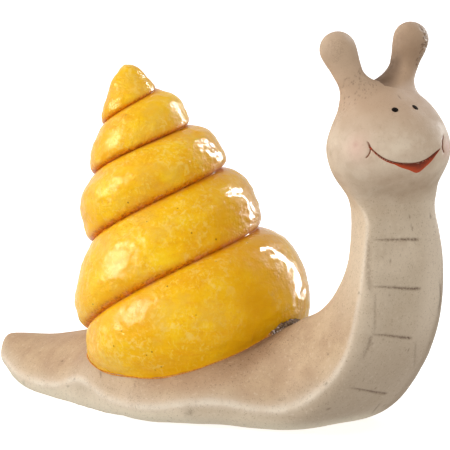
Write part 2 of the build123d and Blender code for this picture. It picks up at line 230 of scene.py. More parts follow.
ROWS = [
    ((-153.8, -2.5, 12.5), (-153.8, 2.5, 12.5), (-154.0, 0, 18.5), 4.0, 2.0, 0.55, 2.2),
    ((-152.6, -6.0, 13.0), (-152.4, 6.0, 12.0), (-153.2, 0, 21.5), 5.5, 2.0, 0.58, 2.4),
    ((-148.9, -11.5, 12.5), (-148.5, 11.5, 10.8), (-151.2, 0, 23.6), 7.5, 2.0, 0.60, 2.6),
    ((-141.6, -18, 11.5), (-142.6, 18, 9.6), (-146.3, 0, 24.6), 8.5, 2.0, 0.64, 3.0),
    ((-129.4, -26, 9.2), (-130.6, 26, 8.8), (-133.8, 0, 25.4), 9.0, 2.0, 0.68, 3.5),
    ((-110.2, -35.5, 6.8), (-111.4, 35.5, 8.8), (-113.5, 0, 27.9), 9.5, 2.0, 0.72, 4.0),
    ((-88.9, -42.5, 6.4), (-90.0, 43, 10.0), (-92.6, 0, 33.0), 11.0, 2.0, 0.75, 4.0),
    ((-65.6, -48.5, 10.2), (-66.5, 49, 11.6), (-68.3, 0, 38.0), 17.0, 2.0, 0.72, 4.0),
    ((-47.5, -53.5, 16.2), (-48.7, 54, 12.6), (-49.3, 0, 40.8), 25.0, 2.0, 0.68, 4.0),
    ((-29.4, -58, 12.0), (-30.4, 58, 12.6), (-30.7, 0, 43.2), 19.0, 2.0, 0.63, 4.0),
    ((-7.7, -62.5, 8.8), (-8.0, 62, 11.4), (-8.4, 0, 46.2), 11.8, 2.0, 0.60, 4.0),
    ((18.3, -63.5, 9.6), (18.1, 63, 10.0), (15.4, 0, 49.4), 11.8, 2.0, 0.60, 4.0),
    ((41.7, -58.5, 14.2), (42.2, 59, 10.4), (36.4, 0, 52.2), 14.6, 2.0, 0.60, 4.0),
    ((62.8, -51.5, 16.2), (64.0, 53, 12.0), (55.8, 0, 55.4), 16.4, 2.0, 0.60, 4.0),
    ((82.0, -44.8, 14.4), (83.2, 47.5, 12.6), (70.8, 0, 58.8), 14.6, 2.0, 0.62, 3.8),
    ((101.3, -39.2, 16.6), (101.0, 43, 11.6), (83.0, 0, 62.4), 13.2, 2.0, 0.66, 3.6),
    ((121.2, -35.7, 28.6), (120.8, 39, 20.4), (94.6, 1, 67.8), 12.0, 2.0, 0.66, 3.4),
    ((136.6, -33.7, 46.0), (140.4, 35, 40.2), (104.6, 3.2, 76.6), 10.4, 2.0, 0.64, 3.2),
    ((145.6, -32.4, 71.0), (155.8, 30.5, 67.2), (114.0, 6, 91.0), 9.4, 2.0, 0.62, 3.2),
    ((149.6, -30.8, 95.0), (162.6, 26, 95.6), (119.9, 8, 106.2), 8.2, 2.2, 0.58, 3.2),
    ((150.4, -28.6, 119.0), (163.9, 21.3, 119.6), (121.9, 9, 122.6), 6.2, 2.4, 0.52, 3.1),
    ((147.2, -27.4, 137.0), (162.6, 18.8, 137.4), (121.2, 9.6, 137.2), 5.8, 2.4, 0.50, 2.8),
    head_row(144.2, 151.0, -4.0, 26.4, 11.5, 32.0, 2.4),
    head_row(150.4, 147.8, -3.5, 29.4, 20.5, 30.9, 2.1),
    head_row(157.6, 146.4, -3.1, 33.1, 29.0, 31.6),
    head_row(165.0, 146.3, -3, 35.5, 33.8, 33.3),
    head_row(172.0, 146.4, -3, 35.9, 35.0, 33.9),
    head_row(179.2, 146.4, -3, 34.2, 33.6, 32.9),
    head_row(186.8, 146.0, -3, 31.0, 30.6, 30.2),
    head_row(193.6, 144.8, -3, 27.2, 26.6, 26.6),
    head_row(199.4, 142.9, -3, 22.4, 22.0, 22.2),
    head_row(203.6, 141.2, -3, 16.8, 16.6, 16.8),
    head_row(206.6, 140.2, -3, 10.4, 10.4, 10.4),
    head_row(208.2, 139.8, -3, 3.6, 3.6, 3.6),
]
ROW_ANCHORS = np.array([np.concatenate([r[0], r[1], r[2]]) for r in ROWS], float)
ROW_SHAPES = np.array([r[3:] for r in ROWS], float)
_mid = ((ROW_ANCHORS[:, 0:3] + ROW_ANCHORS[:, 3:6]) / 2 + ROW_ANCHORS[:, 6:9]) / 2
ROW_T = np.concatenate([[0], np.cumsum(np.linalg.norm(np.diff(_mid, axis=0), axis=1))])
NECK_T, CHIN_T = ROW_T[20], ROW_T[22]

# where the stylus and the brush went, on the surface, in mm
SMILE = along([(155.84, -35.51, 179.43), (158.25, -35.61, 176.41), (160.74, -35.08, 174.13), (165.53, -32.5, 170.11),
               (170.31, -27.95, 167.56), (174.41, -22.59, 166.57), (177.79, -16.38, 166.5), (180.28, -10.03, 168.17),
               (181.47, -4.54, 170.95), (181.13, 1.87, 174.12)], 0.8)
CREASE_NEAR = along([(155.84, -35.51, 179.43), (157.66, -35.41, 177.84), (158.78, -35.9, 174.32),
                     (158.4, -36.33, 172.09), (156.18, -37.06, 169.56)], 0.6)
CREASE_FAR = along([(178.34, 7.17, 180.27), (180.48, 3.64, 176.02), (181.16, 2.76, 172.97), (180.84, 4.63, 170.07)], 0.6)
LIP = along([(165.2, -32.9, 170.0), (167.6, -30.8, 168.3), (170.25, -27.88, 166.2), (172.66, -23.92, 163.9),
             (174.46, -19.1, 162.09), (175.7, -13.34, 160.22), (178.39, -10.52, 162.84), (180.56, -6.29, 166.61),
             (181.5, -2.79, 170.38), (181.3, 1.0, 173.4)], 0.8)
LINES = [
    along([(155.06, -27.08, 121.14), (159.04, -19.09, 120.38), (162.28, -8.34, 119.45), (164.95, 1.64, 118.49)], 1),
    along([(156.13, -28.2, 94.23), (160.2, -18.44, 92.76), (162.79, -7.74, 90.82), (165.08, 3.35, 89.48)], 1),
    along([(153.58, -25.38, 65.32), (155.8, -16.3, 63.7), (157.07, -6.7, 61.63), (158.16, 4.32, 59.27)], 1),
    along([(138.65, -27.35, 32.52), (139.57, -17.82, 30.09), (138.52, -5.27, 26.51), (136.79, 8.99, 22.77)], 1),
]
GROOVE = along([(152.72, -26.31, 63.4), (150.83, -26.67, 57.27), (148.43, -27.76, 51.56)], 0.8)
# nicks, scratches and dark traces: line, width, depth and tone
MARKS = [
    ([(163.4, -3.5, 127.2), (163.9, -2.3, 125.6), (164.1, -2.5, 124.4)], 0.55, 0.30, 0.8),
    ([(165.9, 11.5, 132.0), (166.0, 11.8, 129.5)], 0.55, 0.30, 0.9),
    ([(125.9, -35.7, 33.5), (127.6, -34.8, 35.0)], 0.60, 0.30, 0.9),
    ([(94.95, -39.94, 21.26), (97.26, -39.18, 22.29), (99.98, -38.57, 22.97)], 0.42, 0.25, 0.85),
    ([(130.12, 11.02, 16.1), (127.6, 12.6, 13.6), (125.1, 13.73, 11.61), (118.62, 18.29, 6.85)], 0.60, 0.28, 0.75),
    ([(157.86, 8.4, 56.67), (155.34, 11.99, 50.12), (149.26, 18.61, 38.55)], 0.80, 0.10, 0.35),
    ([(167.14, 19.07, 92.33), (166.14, 21.39, 85.86), (165.09, 22.63, 80.25), (163.38, 22.86, 72.03)], 0.75, 0.22, 0.75),
    ([(150.49, -27.7, 126.63), (152.15, -28.8, 117.67), (152.78, -29.71, 107.98), (154.28, -30.41, 97.78),
      (155.2, -29.6, 88.0)], 1.9, 0.26, 0.40),
    ([(156.77, -27.97, 90.74), (156.5, -27.29, 83.02), (155.51, -26.14, 73.96), (153.69, -24.69, 65.32)], 0.9, 0.16, 0.38),
    ([(42.0, -58.3, 11.0), (44.0, -58.4, 8.0)], 3.2, 0.20, 0.42),
]
BLUSH_NEAR, BLUSH_FAR = np.array([149.58, -37.94, 175.57]), np.array([180.0, 7.96, 173.09])
EYE_NEAR = (np.array([163.24, -18.68, 196.2]), np.array([0.549, -0.439, 0.711]))
EYE_FAR = (np.array([168.16, -6.17, 196.64]), np.array([0.661, -0.096, 0.744]))


def body_sections(t):
    g, q = cubic(ROW_T, ROW_ANCHORS, t), pchip(ROW_T, ROW_SHAPES, t)
    rn, rf, dp = g[:, 0:3], g[:, 3:6], g[:, 6:9]
    c, lw = (rn + rf) / 2, (rf - rn) / 2
    unit = lw / np.linalg.norm(lw, axis=1)[:, None]
    d = dp - c
    n = d - (d * unit).sum(1)[:, None] * unit
    n /= np.linalg.norm(n, axis=1)[:, None]
    return c, lw, d, n, q


def crowd(w):
    return np.where(w < 0.5, 2 * w * w, 1 - 2 * (1 - w) ** 2)


def body_point(c, lw, d, n, q, back, w):
    """Points of one section: w runs 0 to 1 over the back from the right edge, or under the belly from the left one."""
    if back:
        co = -np.cos(PI * crowd(w))
        s = (1 - np.abs(co) ** q[1]).clip(0) ** q[2]
        return c + co[:, None] * lw + s[:, None] * d
    co = np.cos(PI * crowd(w))
    s = (1 - np.abs(co) ** q[3]).clip(0) ** (1 / q[3])
    return c + co[:, None] * lw - (s * q[0])[:, None] * n


def build_body():
    # rows crowd where the fine marks are
    rough_t = np.linspace(0, ROW_T[-1], 700)
    cs = body_sections(rough_t)
    probe = np.array([body_point(*[x[i] for x in cs], False, np.linspace(0.1, 0.9, 60)) for i in range(len(rough_t))])

    def row_of(p):
        return rough_t[np.linalg.norm(probe - p, axis=2).min(1).argmin()]

    t = np.linspace(0, ROW_T[-1], 4000)
    w = np.full(len(t), 1.0)
    extra = np.zeros(len(t))
    for line in LINES:
        for p in line[::3]:
            extra = np.maximum(extra, 2.0 * np.exp(-(((t - row_of(p)) / 2.4) ** 4)))
    for line in (SMILE, LIP, CREASE_NEAR, CREASE_FAR):
        for p in line[::3]:
            extra = np.maximum(extra, 1.5 * np.exp(-(((t - row_of(p)) / 2.6) ** 4)))
    for p in (EYE_NEAR[0], EYE_FAR[0]):
        extra = np.maximum(extra, 0.8 * np.exp(-(((t - row_of(p)) / 3.5) ** 4)))
    w += extra + 2.5 * np.exp(-((t / 5) ** 2))
    rows = 376
    tt = spread(t, w, rows)
    nd, nv = 104, 152
    ud = spread([0, 0.06, 0.16, 0.5, 0.84, 0.94, 1], [1.8, 1.8, 1, 1, 1, 1.5, 1.5], nd, closed=True)
    uv = spread([0, 0.1, 0.24, 0.32, 0.78, 0.86, 1], [1.25, 1, 1, 2.2, 2.2, 1, 1.25], nv, closed=True)
    c, lw, d, n, q = body_sections(tt)
    grid = np.zeros((rows, nd + nv, 3))
    edge = np.zeros((rows, nd + nv))
    w = np.linspace(0, 1, 700)
    for i in range(rows):
        args = (c[i], lw[i], d[i], n[i], q[i])
        for back, u, cols in ((True, ud, slice(0, nd)), (False, uv, slice(nd, nd + nv))):
            p = body_point(*args, back, w)
            length = np.concatenate([[0], np.cumsum(np.linalg.norm(np.diff(p, axis=0), axis=1))])
            at = np.interp(u * length[-1], length, w)
            grid[i, cols] = body_point(*args, back, at)
            edge[i, cols] = np.minimum(u, 1 - u) * length[-1] * np.where(u > 0.5, -1, 1) * (1 if back else -1)
    tg = np.repeat(tt[:, None], nd + nv, 1)
    flat = grid.reshape(-1, 3)
    nrm = grid_normals(grid)
    if (nrm[200] * (grid[200] - c[200])).sum() < 0:
        nrm = -nrm
    nrm = nrm.reshape(-1, 3)
    t1, e1 = tg.ravel(), edge.ravel()
    under = np.repeat((np.arange(nd + nv) >= nd)[None], rows, 0).ravel()
    e_abs = np.abs(e1)
    onhead = smooth(t1, ROW_T[21] - 6, ROW_T[24])
    belly = np.where(under, smooth(e_abs, -0.5, 3.0), 0.0)
    move = np.zeros(len(flat))
    # hand-shaped clay is never quite even
    big = lumps(flat, 34.0, 3.1)
    mid = lumps(flat, 11.0, 7.7)
    fine = lumps(flat, 4.2, 1.3)
    onback = (1 - onhead) * (~under)
    move += 0.55 * big * (1 - 0.6 * onhead) + 0.16 * mid + 0.035 * fine
    move += onback * smooth(e_abs, 3, 14) * 0.30 * lumps(flat, 17.0, 5.9)
    # rolled edge of the foot: a soft bead along the right and left ridges
    bead = np.exp(-((e_abs / 3.4) ** 2)) * (1 - onhead) * (1 - smooth(t1, NECK_T - 20, NECK_T + 6))
    move += bead * (0.35 + 0.55 * lumps(flat * [1, 0.35, 0.35], 15.0, 9.2))
    # stylus marks
    groove = np.zeros(len(flat))
    smile = np.zeros(len(flat))
    for k, line in enumerate(LINES):
        dist, f = near(flat, line, 4)
        wob = 1 + 0.25 * lumps(flat[dist < 4], 2.2, 11.0 + k) if (dist < 4).any() else 1
        taper = smooth(f, -0.02, 0.14) * (1 - smooth(f, 0.94, 1.02))
        g = np.exp(-((dist / (0.52 + 0.36 * f)) ** 2)) * (0.40 + 0.60 * taper) * (dist < 4)
        g = g * np.where(dist < 900, smooth(1 - np.maximum(dist - 0.0, 0) / 4, 0, 0.2), 0)
        groove = np.maximum(groove, g * (0.58 + 0.42 * f))
        # the raised burr beside the cut
        move += 0.14 * np.exp(-(((dist - 1.5) / 0.7) ** 2)) * taper * (dist < 4)
        move -= 0.55 * g
    dist, f = near(flat, GROOVE, 5)
    g = np.exp(-((dist / 1.15) ** 2)) * (1 - 0.5 * f)
    groove = np.maximum(groove, 0.55 * g)
    move -= 0.5 * g
    for line, wide, deep, tone in ((SMILE, 0.50, 0.42, 1.0), (CREASE_NEAR, 0.52, 0.55, 0.9), (CREASE_FAR, 0.70, 0.6, 1.0)):
        dist, f = near(flat, line, 4)
        ends = 0.35 + 0.65 * smooth(f, 0.0, 0.1) * (1 - smooth(f, 0.9, 1.0))
        g = np.exp(-((dist / wide) ** 2)) * ends
        smile = np.maximum(smile, tone * g)
        move -= deep * g
    marks = np.zeros(len(flat))
    for line, wide, deep, tone in MARKS:
        line = along(line, 0.8)
        dist, f = near(flat, line, 3 * wide + 2)
        ends = 0.3 + 0.7 * smooth(f, 0.0, 0.2) * (1 - smooth(f, 0.8, 1.0))
        g = np.exp(-((dist / wide) ** 2)) * ends
        marks = np.maximum(marks, tone * g)
        move -= deep * g
    # cheeks swell a little behind the creases, and the smile sinks in softly
    for spot, high in ((BLUSH_NEAR, 0.55), (BLUSH_FAR, 0.55)):
        r = np.linalg.norm(flat - spot, axis=1)
        move += high * np.exp(-((r / 8.0) ** 2))
    dist, f = near(flat, SMILE, 9)
    move -= 0.42 * np.exp(-((dist / 3.2) ** 2)) * smooth(f, 0.0, 0.12) * (1 - smooth(f, 0.88, 1.0))
    # eye seats
    for spot, direction in (EYE_NEAR, EYE_FAR):
        r = np.linalg.norm(flat - spot, axis=1)
        move -= 0.22 * np.exp(-((r / 2.3) ** 2))
    # shaved plane of the belly: a shallow step down its right-hand side
    s_front = np.where(under, smooth(e_abs, 3.5, 7.0), 0)
    from_right = np.where(under, np.repeat(((nd + nv - np.arange(nd + nv)) / nv)[None], rows, 0).ravel(), 0)
    shave = s_front * smooth(from_right, 0.0, 0.08) * (1 - smooth(from_right, 0.13, 0.19))
    move += 0.30 * shave * smooth(flat[:, 2], 40, 60) * (1 - smooth(flat[:, 2], 128, 140)) * (1 - onhead)
    # pits and nicks
    rng = np.random.default_rng(11)
    pits = np.zeros(len(flat))
    picked = rng.choice(len(flat), 110, replace=False)
    for k in picked:
        if onhead[k] > 0.4 and rng.uniform() < 0.85:
            continue
        r = rng.uniform(0.4, 0.85)
        dist = np.linalg.norm(flat - flat[k], axis=1)
        g = np.exp(-((dist / r) ** 2)) * rng.uniform(0.2, 0.75)
        pits = np.maximum(pits, g)
    move -= 0.28 * pits
    moved = flat + nrm * move[:, None]
    moved[:, 2] = np.maximum(moved[:, 2], 0.0)
    # washes, with painted highlight along the ridges and painted shade under the chin
    dorsal = 1 - belly
    upneck = smooth(t1, ROW_T[15], ROW_T[18])
    halo = np.where(under, 0.0, 1.0) * np.exp(-((e_abs / 9.5) ** 2)) * (1 - upneck)
    reach = np.where(under, 2.0 - 0.4 * upneck, 3.2 - 0.8 * upneck)
    ridge = np.exp(-((e_abs / reach) ** 2)) * (1 - smooth(t1, CHIN_T - 10, CHIN_T + 4)) * (1 - 0.25 * upneck)
    blush = np.maximum(
        np.exp(-((np.linalg.norm((flat - BLUSH_NEAR - [1.5, 0, -0.5]) * [0.9, 1, 0.85], axis=1) / 7.0) ** 2)),
        1.6 * np.exp(-((np.linalg.norm(flat - BLUSH_FAR, axis=1) / 5.5) ** 2)),
    )
    freckle = np.exp(-((np.linalg.norm(flat - (BLUSH_NEAR + [0.4, 0, 1.5]), axis=1) / 1.5) ** 2))
    front = ((flat - np.array([146.4, -3.0, 0])) @ np.array([HY, -HX, 0]))
    chin = np.exp(-(((flat[:, 2] - 150.5) / 9.0) ** 2)) * smooth(front, 2, 17) * smooth(t1, NECK_T, NECK_T + 9)
    low = (1 - smooth(flat[:, 2], 1.0, 13.0)) * belly
    caps = np.array([moved[: nd + nv].mean(0) + [-0.9, 0, 0], moved[-(nd + nv):].mean(0) + [0, 0, 0.35]])
    points = np.vstack([moved, caps])

    def full(v, a=0.0, b=0.0):
        return np.concatenate([v, [a, b]])

    attributes = {
        "belly": full(belly), "ridge": full(ridge, 0.6), "groove": full(groove), "smile": full(smile),
        "pits": full(pits), "blush": full(blush), "freckle": full(freckle), "chin": full(chin), "low": full(low), "halo": full(halo),
        "head": full(onhead, 0, 1), "marks": full(marks),
    }
    return points, grid_faces(rows, nd + nv), attributes


body_points, body_faces, body_attributes = build_body()
_tri = np.array([f[:3] for f in body_faces])
if np.einsum("ij,ij->i", body_points[_tri[:, 0]], np.cross(body_points[_tri[:, 1]], body_points[_tri[:, 2]])).sum() < 0:
    body_faces = [f[::-1] for f in body_faces]
plain = BVHTree.FromPolygons([Vector(p) for p in body_points], body_faces)


def on_body(p, lift=0.0):
    """The nearest place on the body's skin, lifted off it."""
    co, nr, _, _ = plain.find_nearest(Vector(p))
    return np.array(co) + np.array(nr) * lift, np.array(nr)


# ------------------------------------------------------------------ shell
APEX = np.array([-54.8, -1.7, 198.6])
TAU, BETA = math.radians(20.09), math.radians(-0.39)
AXIS = np.array([-math.sin(TAU) * math.cos(BETA), math.sin(BETA), math.cos(TAU) * math.cos(BETA)])
_right = np.array([math.cos(math.radians(40)), math.sin(math.radians(40)), 0])
E1 = _right - (_right @ AXIS) * AXIS
E1 /= np.linalg.norm(E1)
E2 = np.cross(-AXIS, E1)
if E2 @ np.array([math.sin(math.radians(40)), -math.cos(math.radians(40)), 0.17]) < 0:
    E2 = -E2
TURNS = np.arange(0, 6, 0.5)
TURN_S = np.array([-12.54, 2.16, 16.5, 29.5, 42.95, 56.8, 73.0, 95.4, 113.13, 144.81, 184.36, 230.78])
ENV_S = np.array([-1.2, 0, 4, 10, 20, 30, 40, 55, 70, 90, 110, 130, 145, 160, 172, 182, 190, 197, 203, 207.5])
ENV_R = np.array([0.05, 3.62, 7.98, 11.56, 19.46, 25.94, 31.18, 38.77, 47.5, 51.69, 58.8, 68.15, 70.58, 70.14, 68.27,
                  62.77, 54.73, 44.14, 28.53, 2.91])
DEPTH_S = np.array([0.0, 30, 70, 120, 180])
DEPTH = np.array([0.2705, 0.2882, 0.2494, 0.2028, 0.138])
SWELL = 0.5


def whorl(p):
    x = np.clip(p, 0, 1)
    x = x - 0.085 * x * (1 - x)
    return (1 - np.abs(2 * x - 1) ** 2.2).clip(0) ** 0.56


def shell_radius(s, p):
    env = pchip(ENV_S, ENV_R, s)
    env = env + SWELL * smooth(s, 6, 30) * (1 - smooth(s, 175, 190))
    return env * (1 - pchip(DEPTH_S, DEPTH, s) * (1 - whorl(p)))


def shell_place(s, th, p, grow=0.0):
    # the foot draws in on the tail side
    tuck = 1 - 0.105 * smooth(s, 158, 184) * ((1 - np.cos(th)) / 2) ** 2
    # towards the neck the whorls are fuller above, on the other side their sutures are shallower
    q = np.clip(p, 0, 1)
    neck_side = ((1 + np.cos(th)) / 2) ** 3 * smooth(s, 12, 26) * (1 - smooth(s, 112, 134))
    tail_side = ((1 - np.cos(th)) / 2) ** 3
    r = shell_radius(s, p) * tuck + grow + neck_side * (0.3 + 1.8 * np.sin(2 * PI * q))
    r = r + tail_side * smooth(s, 20, 40) * (1 - smooth(s, 145, 170)) * 2.5 * (
        np.exp(-(((1 - q) / 0.20) ** 2)) + np.exp(-((q / 0.10) ** 2))
    )
    r = r + tail_side * 2.2 * np.exp(-(((s - 8) / 6.5) ** 2))
    return (
        APEX - s[:, None] * AXIS
        + (r * np.cos(th))[:, None] * E1 + (r * np.sin(th))[:, None] * E2
    )


def build_shell():
    per, m = 252, 62
    w0 = float(np.interp(-1.15, pchip(TURNS, TURN_S, np.linspace(0, 5.5, 4000)), np.linspace(0, 5.5, 4000)))
    w1 = float(np.interp(207.3, pchip(TURNS, TURN_S, np.linspace(0, 5.5, 4000)), np.linspace(0, 5.5, 4000)))
    first, last = math.ceil((w0 - 1) * per), math.floor(w1 * per)
    k = np.linspace(0, 1, m + 1)
    crowded = 0.45 * k + 0.55 * (0.5 - 0.5 * np.cos(PI * k))
    turns = np.arange(first, last + 1) / per
    u = np.repeat(turns[:, None], m + 1, 1)
    lo = np.clip(w0 - turns, 0, 1)[:, None]
    hi = np.clip(w1 - turns, 0, 1)[:, None]
    p = lo + (hi - lo) * crowded[None]
    s = pchip(TURNS, TURN_S, (u + p).ravel())
    th = 2 * PI * u.ravel()
    p = p.ravel()
    pts = shell_place(s, th, p)
    n = len(turns)
    nrm = grid_normals(pts.reshape(n, m + 1, 3), closed=False).reshape(-1, 3)
    out = pts - (APEX - s[:, None] * AXIS)
    nrm[(nrm * out).sum(1) < 0] *= -1
    # seam-safe: the displacement reads only the place, and fades at the suture
    inner = smooth(np.minimum(p, 1 - p), 0.0, 0.14)
    hand = 0.75 * lumps(pts, 30.0, 2.2) + 0.34 * lumps(pts, 12.0, 4.1)
    # brush ripples that follow the turn of the whorl, and short drips across it
    run = np.stack([u.ravel() * 2 * PI * 9.0, s * 1.0, np.zeros(len(s))], 1)
    ring = np.stack([out @ E1, out @ E2, s * 2.2], 1)
    strokes = lumps(ring * [0.55, 0.55, 1.0], 7.5, 8.4)
    knots = lumps(pts, 5.2, 6.6)
    fine = lumps(pts, 2.9, 1.9)
    rough_zone = smooth(p, 0.45, 0.9)
    wrinkle = lumps(ring * [1.0, 1.0, 0.5], 4.6, 3.3)
    move = inner * (hand + 0.30 * strokes + 0.30 * knots + 0.16 * fine + (0.10 + rough_zone * 0.30) * wrinkle)
    pts = pts + nrm * move[:, None]
    deep = pts[:, 2] < 20
    pts[deep, 2] = 14 + 6 * np.exp((pts[deep, 2] - 20) / 6)
    span = pchip(TURNS, TURN_S, np.clip(u.ravel() + 1, 0, 5.5)) - pchip(TURNS, TURN_S, np.clip(u.ravel(), 0, 5.5))
    below = np.exp(-(((1 - p) * span / 4.4) ** 1.2))
    above = np.exp(-((p * span / 2.4) ** 1.5))
    # the apex fades out: no suture at the very tip
    tipfade = smooth(s, 2, 14)
    d0 = np.minimum(1 - p, p) * span
    crease = np.exp(-((d0 / 1.5) ** 2)) * tipfade
    faces = []
    for i in range(n - 1):
        a = i * (m + 1)
        for j in range(m):
            faces.append((a + j, a + j + 1, a + m + 2 + j, a + m + 1 + j))
    ends = s >= 207.0
    obj = make_mesh(
        "yellow_shell", pts, faces,
        {"below": below * tipfade, "above": above * tipfade, "crease": crease, "phase": p, "down": s / 207.5},
        weld=0.02,
    )
    # closes the tip and the foot of the spiral
    bm = bmesh.new()
    bm.from_mesh(obj.data)
    rim = [e for e in bm.edges if e.is_boundary]
    if rim:
        bmesh.ops.holes_fill(bm, edges=rim, sides=0)
        bmesh.ops.triangulate(bm, faces=[f for f in bm.faces if len(f.verts) > 4])
    bmesh.ops.recalc_face_normals(bm, faces=bm.faces)
    for f in bm.faces:
        f.smooth = True
    bm.to_mesh(obj.data)
    bm.free()
    return obj


shell = build_shell()
shell_tree = tree_of(shell)

# how near each place of the clay is to the shell, and the shell to the clay
seam = np.zeros(len(body_points))
for i, p in enumerate(body_points):
    if 12 < p[2] < 75 and -115 < p[0] < 95 and body_attributes["belly"][i] < 0.5:
        hit = shell_tree.find_nearest(Vector(p), 30)
        if hit[0] is not None:
            seam[i] = math.exp(-hit[3] / 15.0)
seam *= 1 - np.sqrt(body_attributes["ridge"])
body_attributes["seam"] = seam
# the clay was pressed up against the shell on its right and behind, and thinned in front of it
LIFT_AT = np.array([-75.0, -62, -50, -38, -24, -10, 4, 18, 30, 42, 54, 66])
LIFT_BY = np.array([4.0, 7.0, 7.5, 5.0, 0.8, -1.4, -2.6, -4.0, -4.8, -4.4, -2.6, 0.0])
across = body_points @ np.array([math.cos(math.radians(40)), math.sin(math.radians(40)), 0])
toward = body_points @ np.array([math.sin(math.radians(40)), -math.cos(math.radians(40)), 0])
lift = pchip(LIFT_AT, LIFT_BY, np.clip(across, -74.9, 65.9)) * smooth(toward, -12, 18)
lift = lift * np.where(lift > 0, smooth(seam, 0.30, 0.85), smooth(seam, 0.12, 0.62))
body_points[:, 2] += lift * smooth(body_points[:, 2], 3, 12) * (body_attributes["belly"] < 0.3)
plain = BVHTree.FromPolygons([Vector(p) for p in body_points], body_faces)
body_attributes["seam"] = seam * (0.22 + 0.95 * smooth(across, -5, 45))


RIGHTWARD = np.array([math.cos(math.radians(40)), math.sin(math.radians(40)), 0])
NEARWARD = np.array([math.sin(math.radians(40)), -math.cos(math.radians(40)), 0])


def seam_line(count=420):
    """Where the shell's skin meets the clay, round the shell."""
    s = np.linspace(96, 206, 221)
    w = np.interp(s, pchip(TURNS, TURN_S, np.linspace(0, 5.5, 4000)), np.linspace(0, 5.5, 4000))
    line, lean = [], []
    for k in range(count):
        th = 2 * PI * k / count
        ph = np.mod(w - th / (2 * PI), 1.0)
        pts = shell_place(s, np.full(len(s), th), ph)
        prev = None
        found = None
        for i, q in enumerate(pts):
            co, nr, _, dist = plain.find_nearest(Vector(q))
            d = (Vector(q) - co).dot(nr)
            if prev is not None and prev > 0 >= d:
                f = prev / (prev - d)
                found = pts[i - 1] + (q - pts[i - 1]) * f
                lean.append((np.array(nr), q - pts[i - 1]))
                break
            prev = d
        if found is None:
            found = pts[-1]
            lean.append((np.array([0, 0, 1.0]), pts[-1] - pts[-2]))
        line.append(found)
    return np.array(line), lean


seam_points, seam_lean = seam_line()
d_base = np.zeros(len(shell.data.vertices))
for v in shell.data.vertices:
    q = v.co / MM
    if q.z < 80:
        co, nr, _, dist = plain.find_nearest(q)
        d_base[v.index] = math.exp(-max(0.0, (q - co).dot(nr)) / 2.6) if dist < 25 else 0.0
_a = shell.data.attributes.new("base", "FLOAT", "POINT")
_a.data.foreach_set("value", d_base.astype(np.float32))

body = make_mesh("snail_body", body_points, body_faces, body_attributes)


# ------------------------------------------------------------------ cement bead
def build_cement():
    n = len(seam_points)
    pts, rows = [], []
    ring = 18
    prev = None
    mids = seam_points.copy()
    for _ in range(4):
        mids = (np.roll(mids, 1, 0) + 2 * mids + np.roll(mids, -1, 0)) / 4
    tang = np.roll(mids, -1, 0) - np.roll(mids, 1, 0)
    tang /= np.linalg.norm(tang, axis=1)[:, None]
    centre = mids.mean(0)
    thick, attr = [], []
    for k in range(n):
        out = mids[k] - centre
        out[2] = 0
        out /= np.linalg.norm(out)
        share = float(smooth(mids[k] @ RIGHTWARD, 38, 50) * smooth(mids[k] @ NEARWARD, -62, -42))
        r = 0.45 + 3.2 * share
        up = np.array([0, 0, 1.0])
        side = np.cross(tang[k], up)
        side /= np.linalg.norm(side)
        if side @ out < 0:
            side = -side
        # the bead leans on the shell and lies on the clay
        c = mids[k] + side * (0.25 + 0.9 * share) + up * (-0.25 + 1.0 * share)
        for j in range(ring):
            a = 2 * PI * j / ring
            pts.append(c + side * math.cos(a) * r * (1.0 + 0.35 * share) + up * math.sin(a) * r * 0.9)
            attr.append(share)
    pts = np.array(pts)
    mean = np.repeat(pts.reshape(n, ring, 3).mean(1), ring, 0)
    outward = pts - mean
    amount = np.array(attr)
    rough = lumps(pts, 2.2, 5.5) * 0.85 + lumps(pts, 1.0, 2.5) * 0.55
    pts = pts + outward * (rough * (0.16 + 0.55 * amount))[:, None]
    faces = []
    for i in range(n):
        for j in range(ring):
            a, b = i * ring, ((i + 1) % n) * ring
            k = (j + 1) % ring
            faces.append((a + j, a + k, b + k, b + j))
    return make_mesh("cement_seam", pts, faces, {"share": amount})


cement = build_cement()


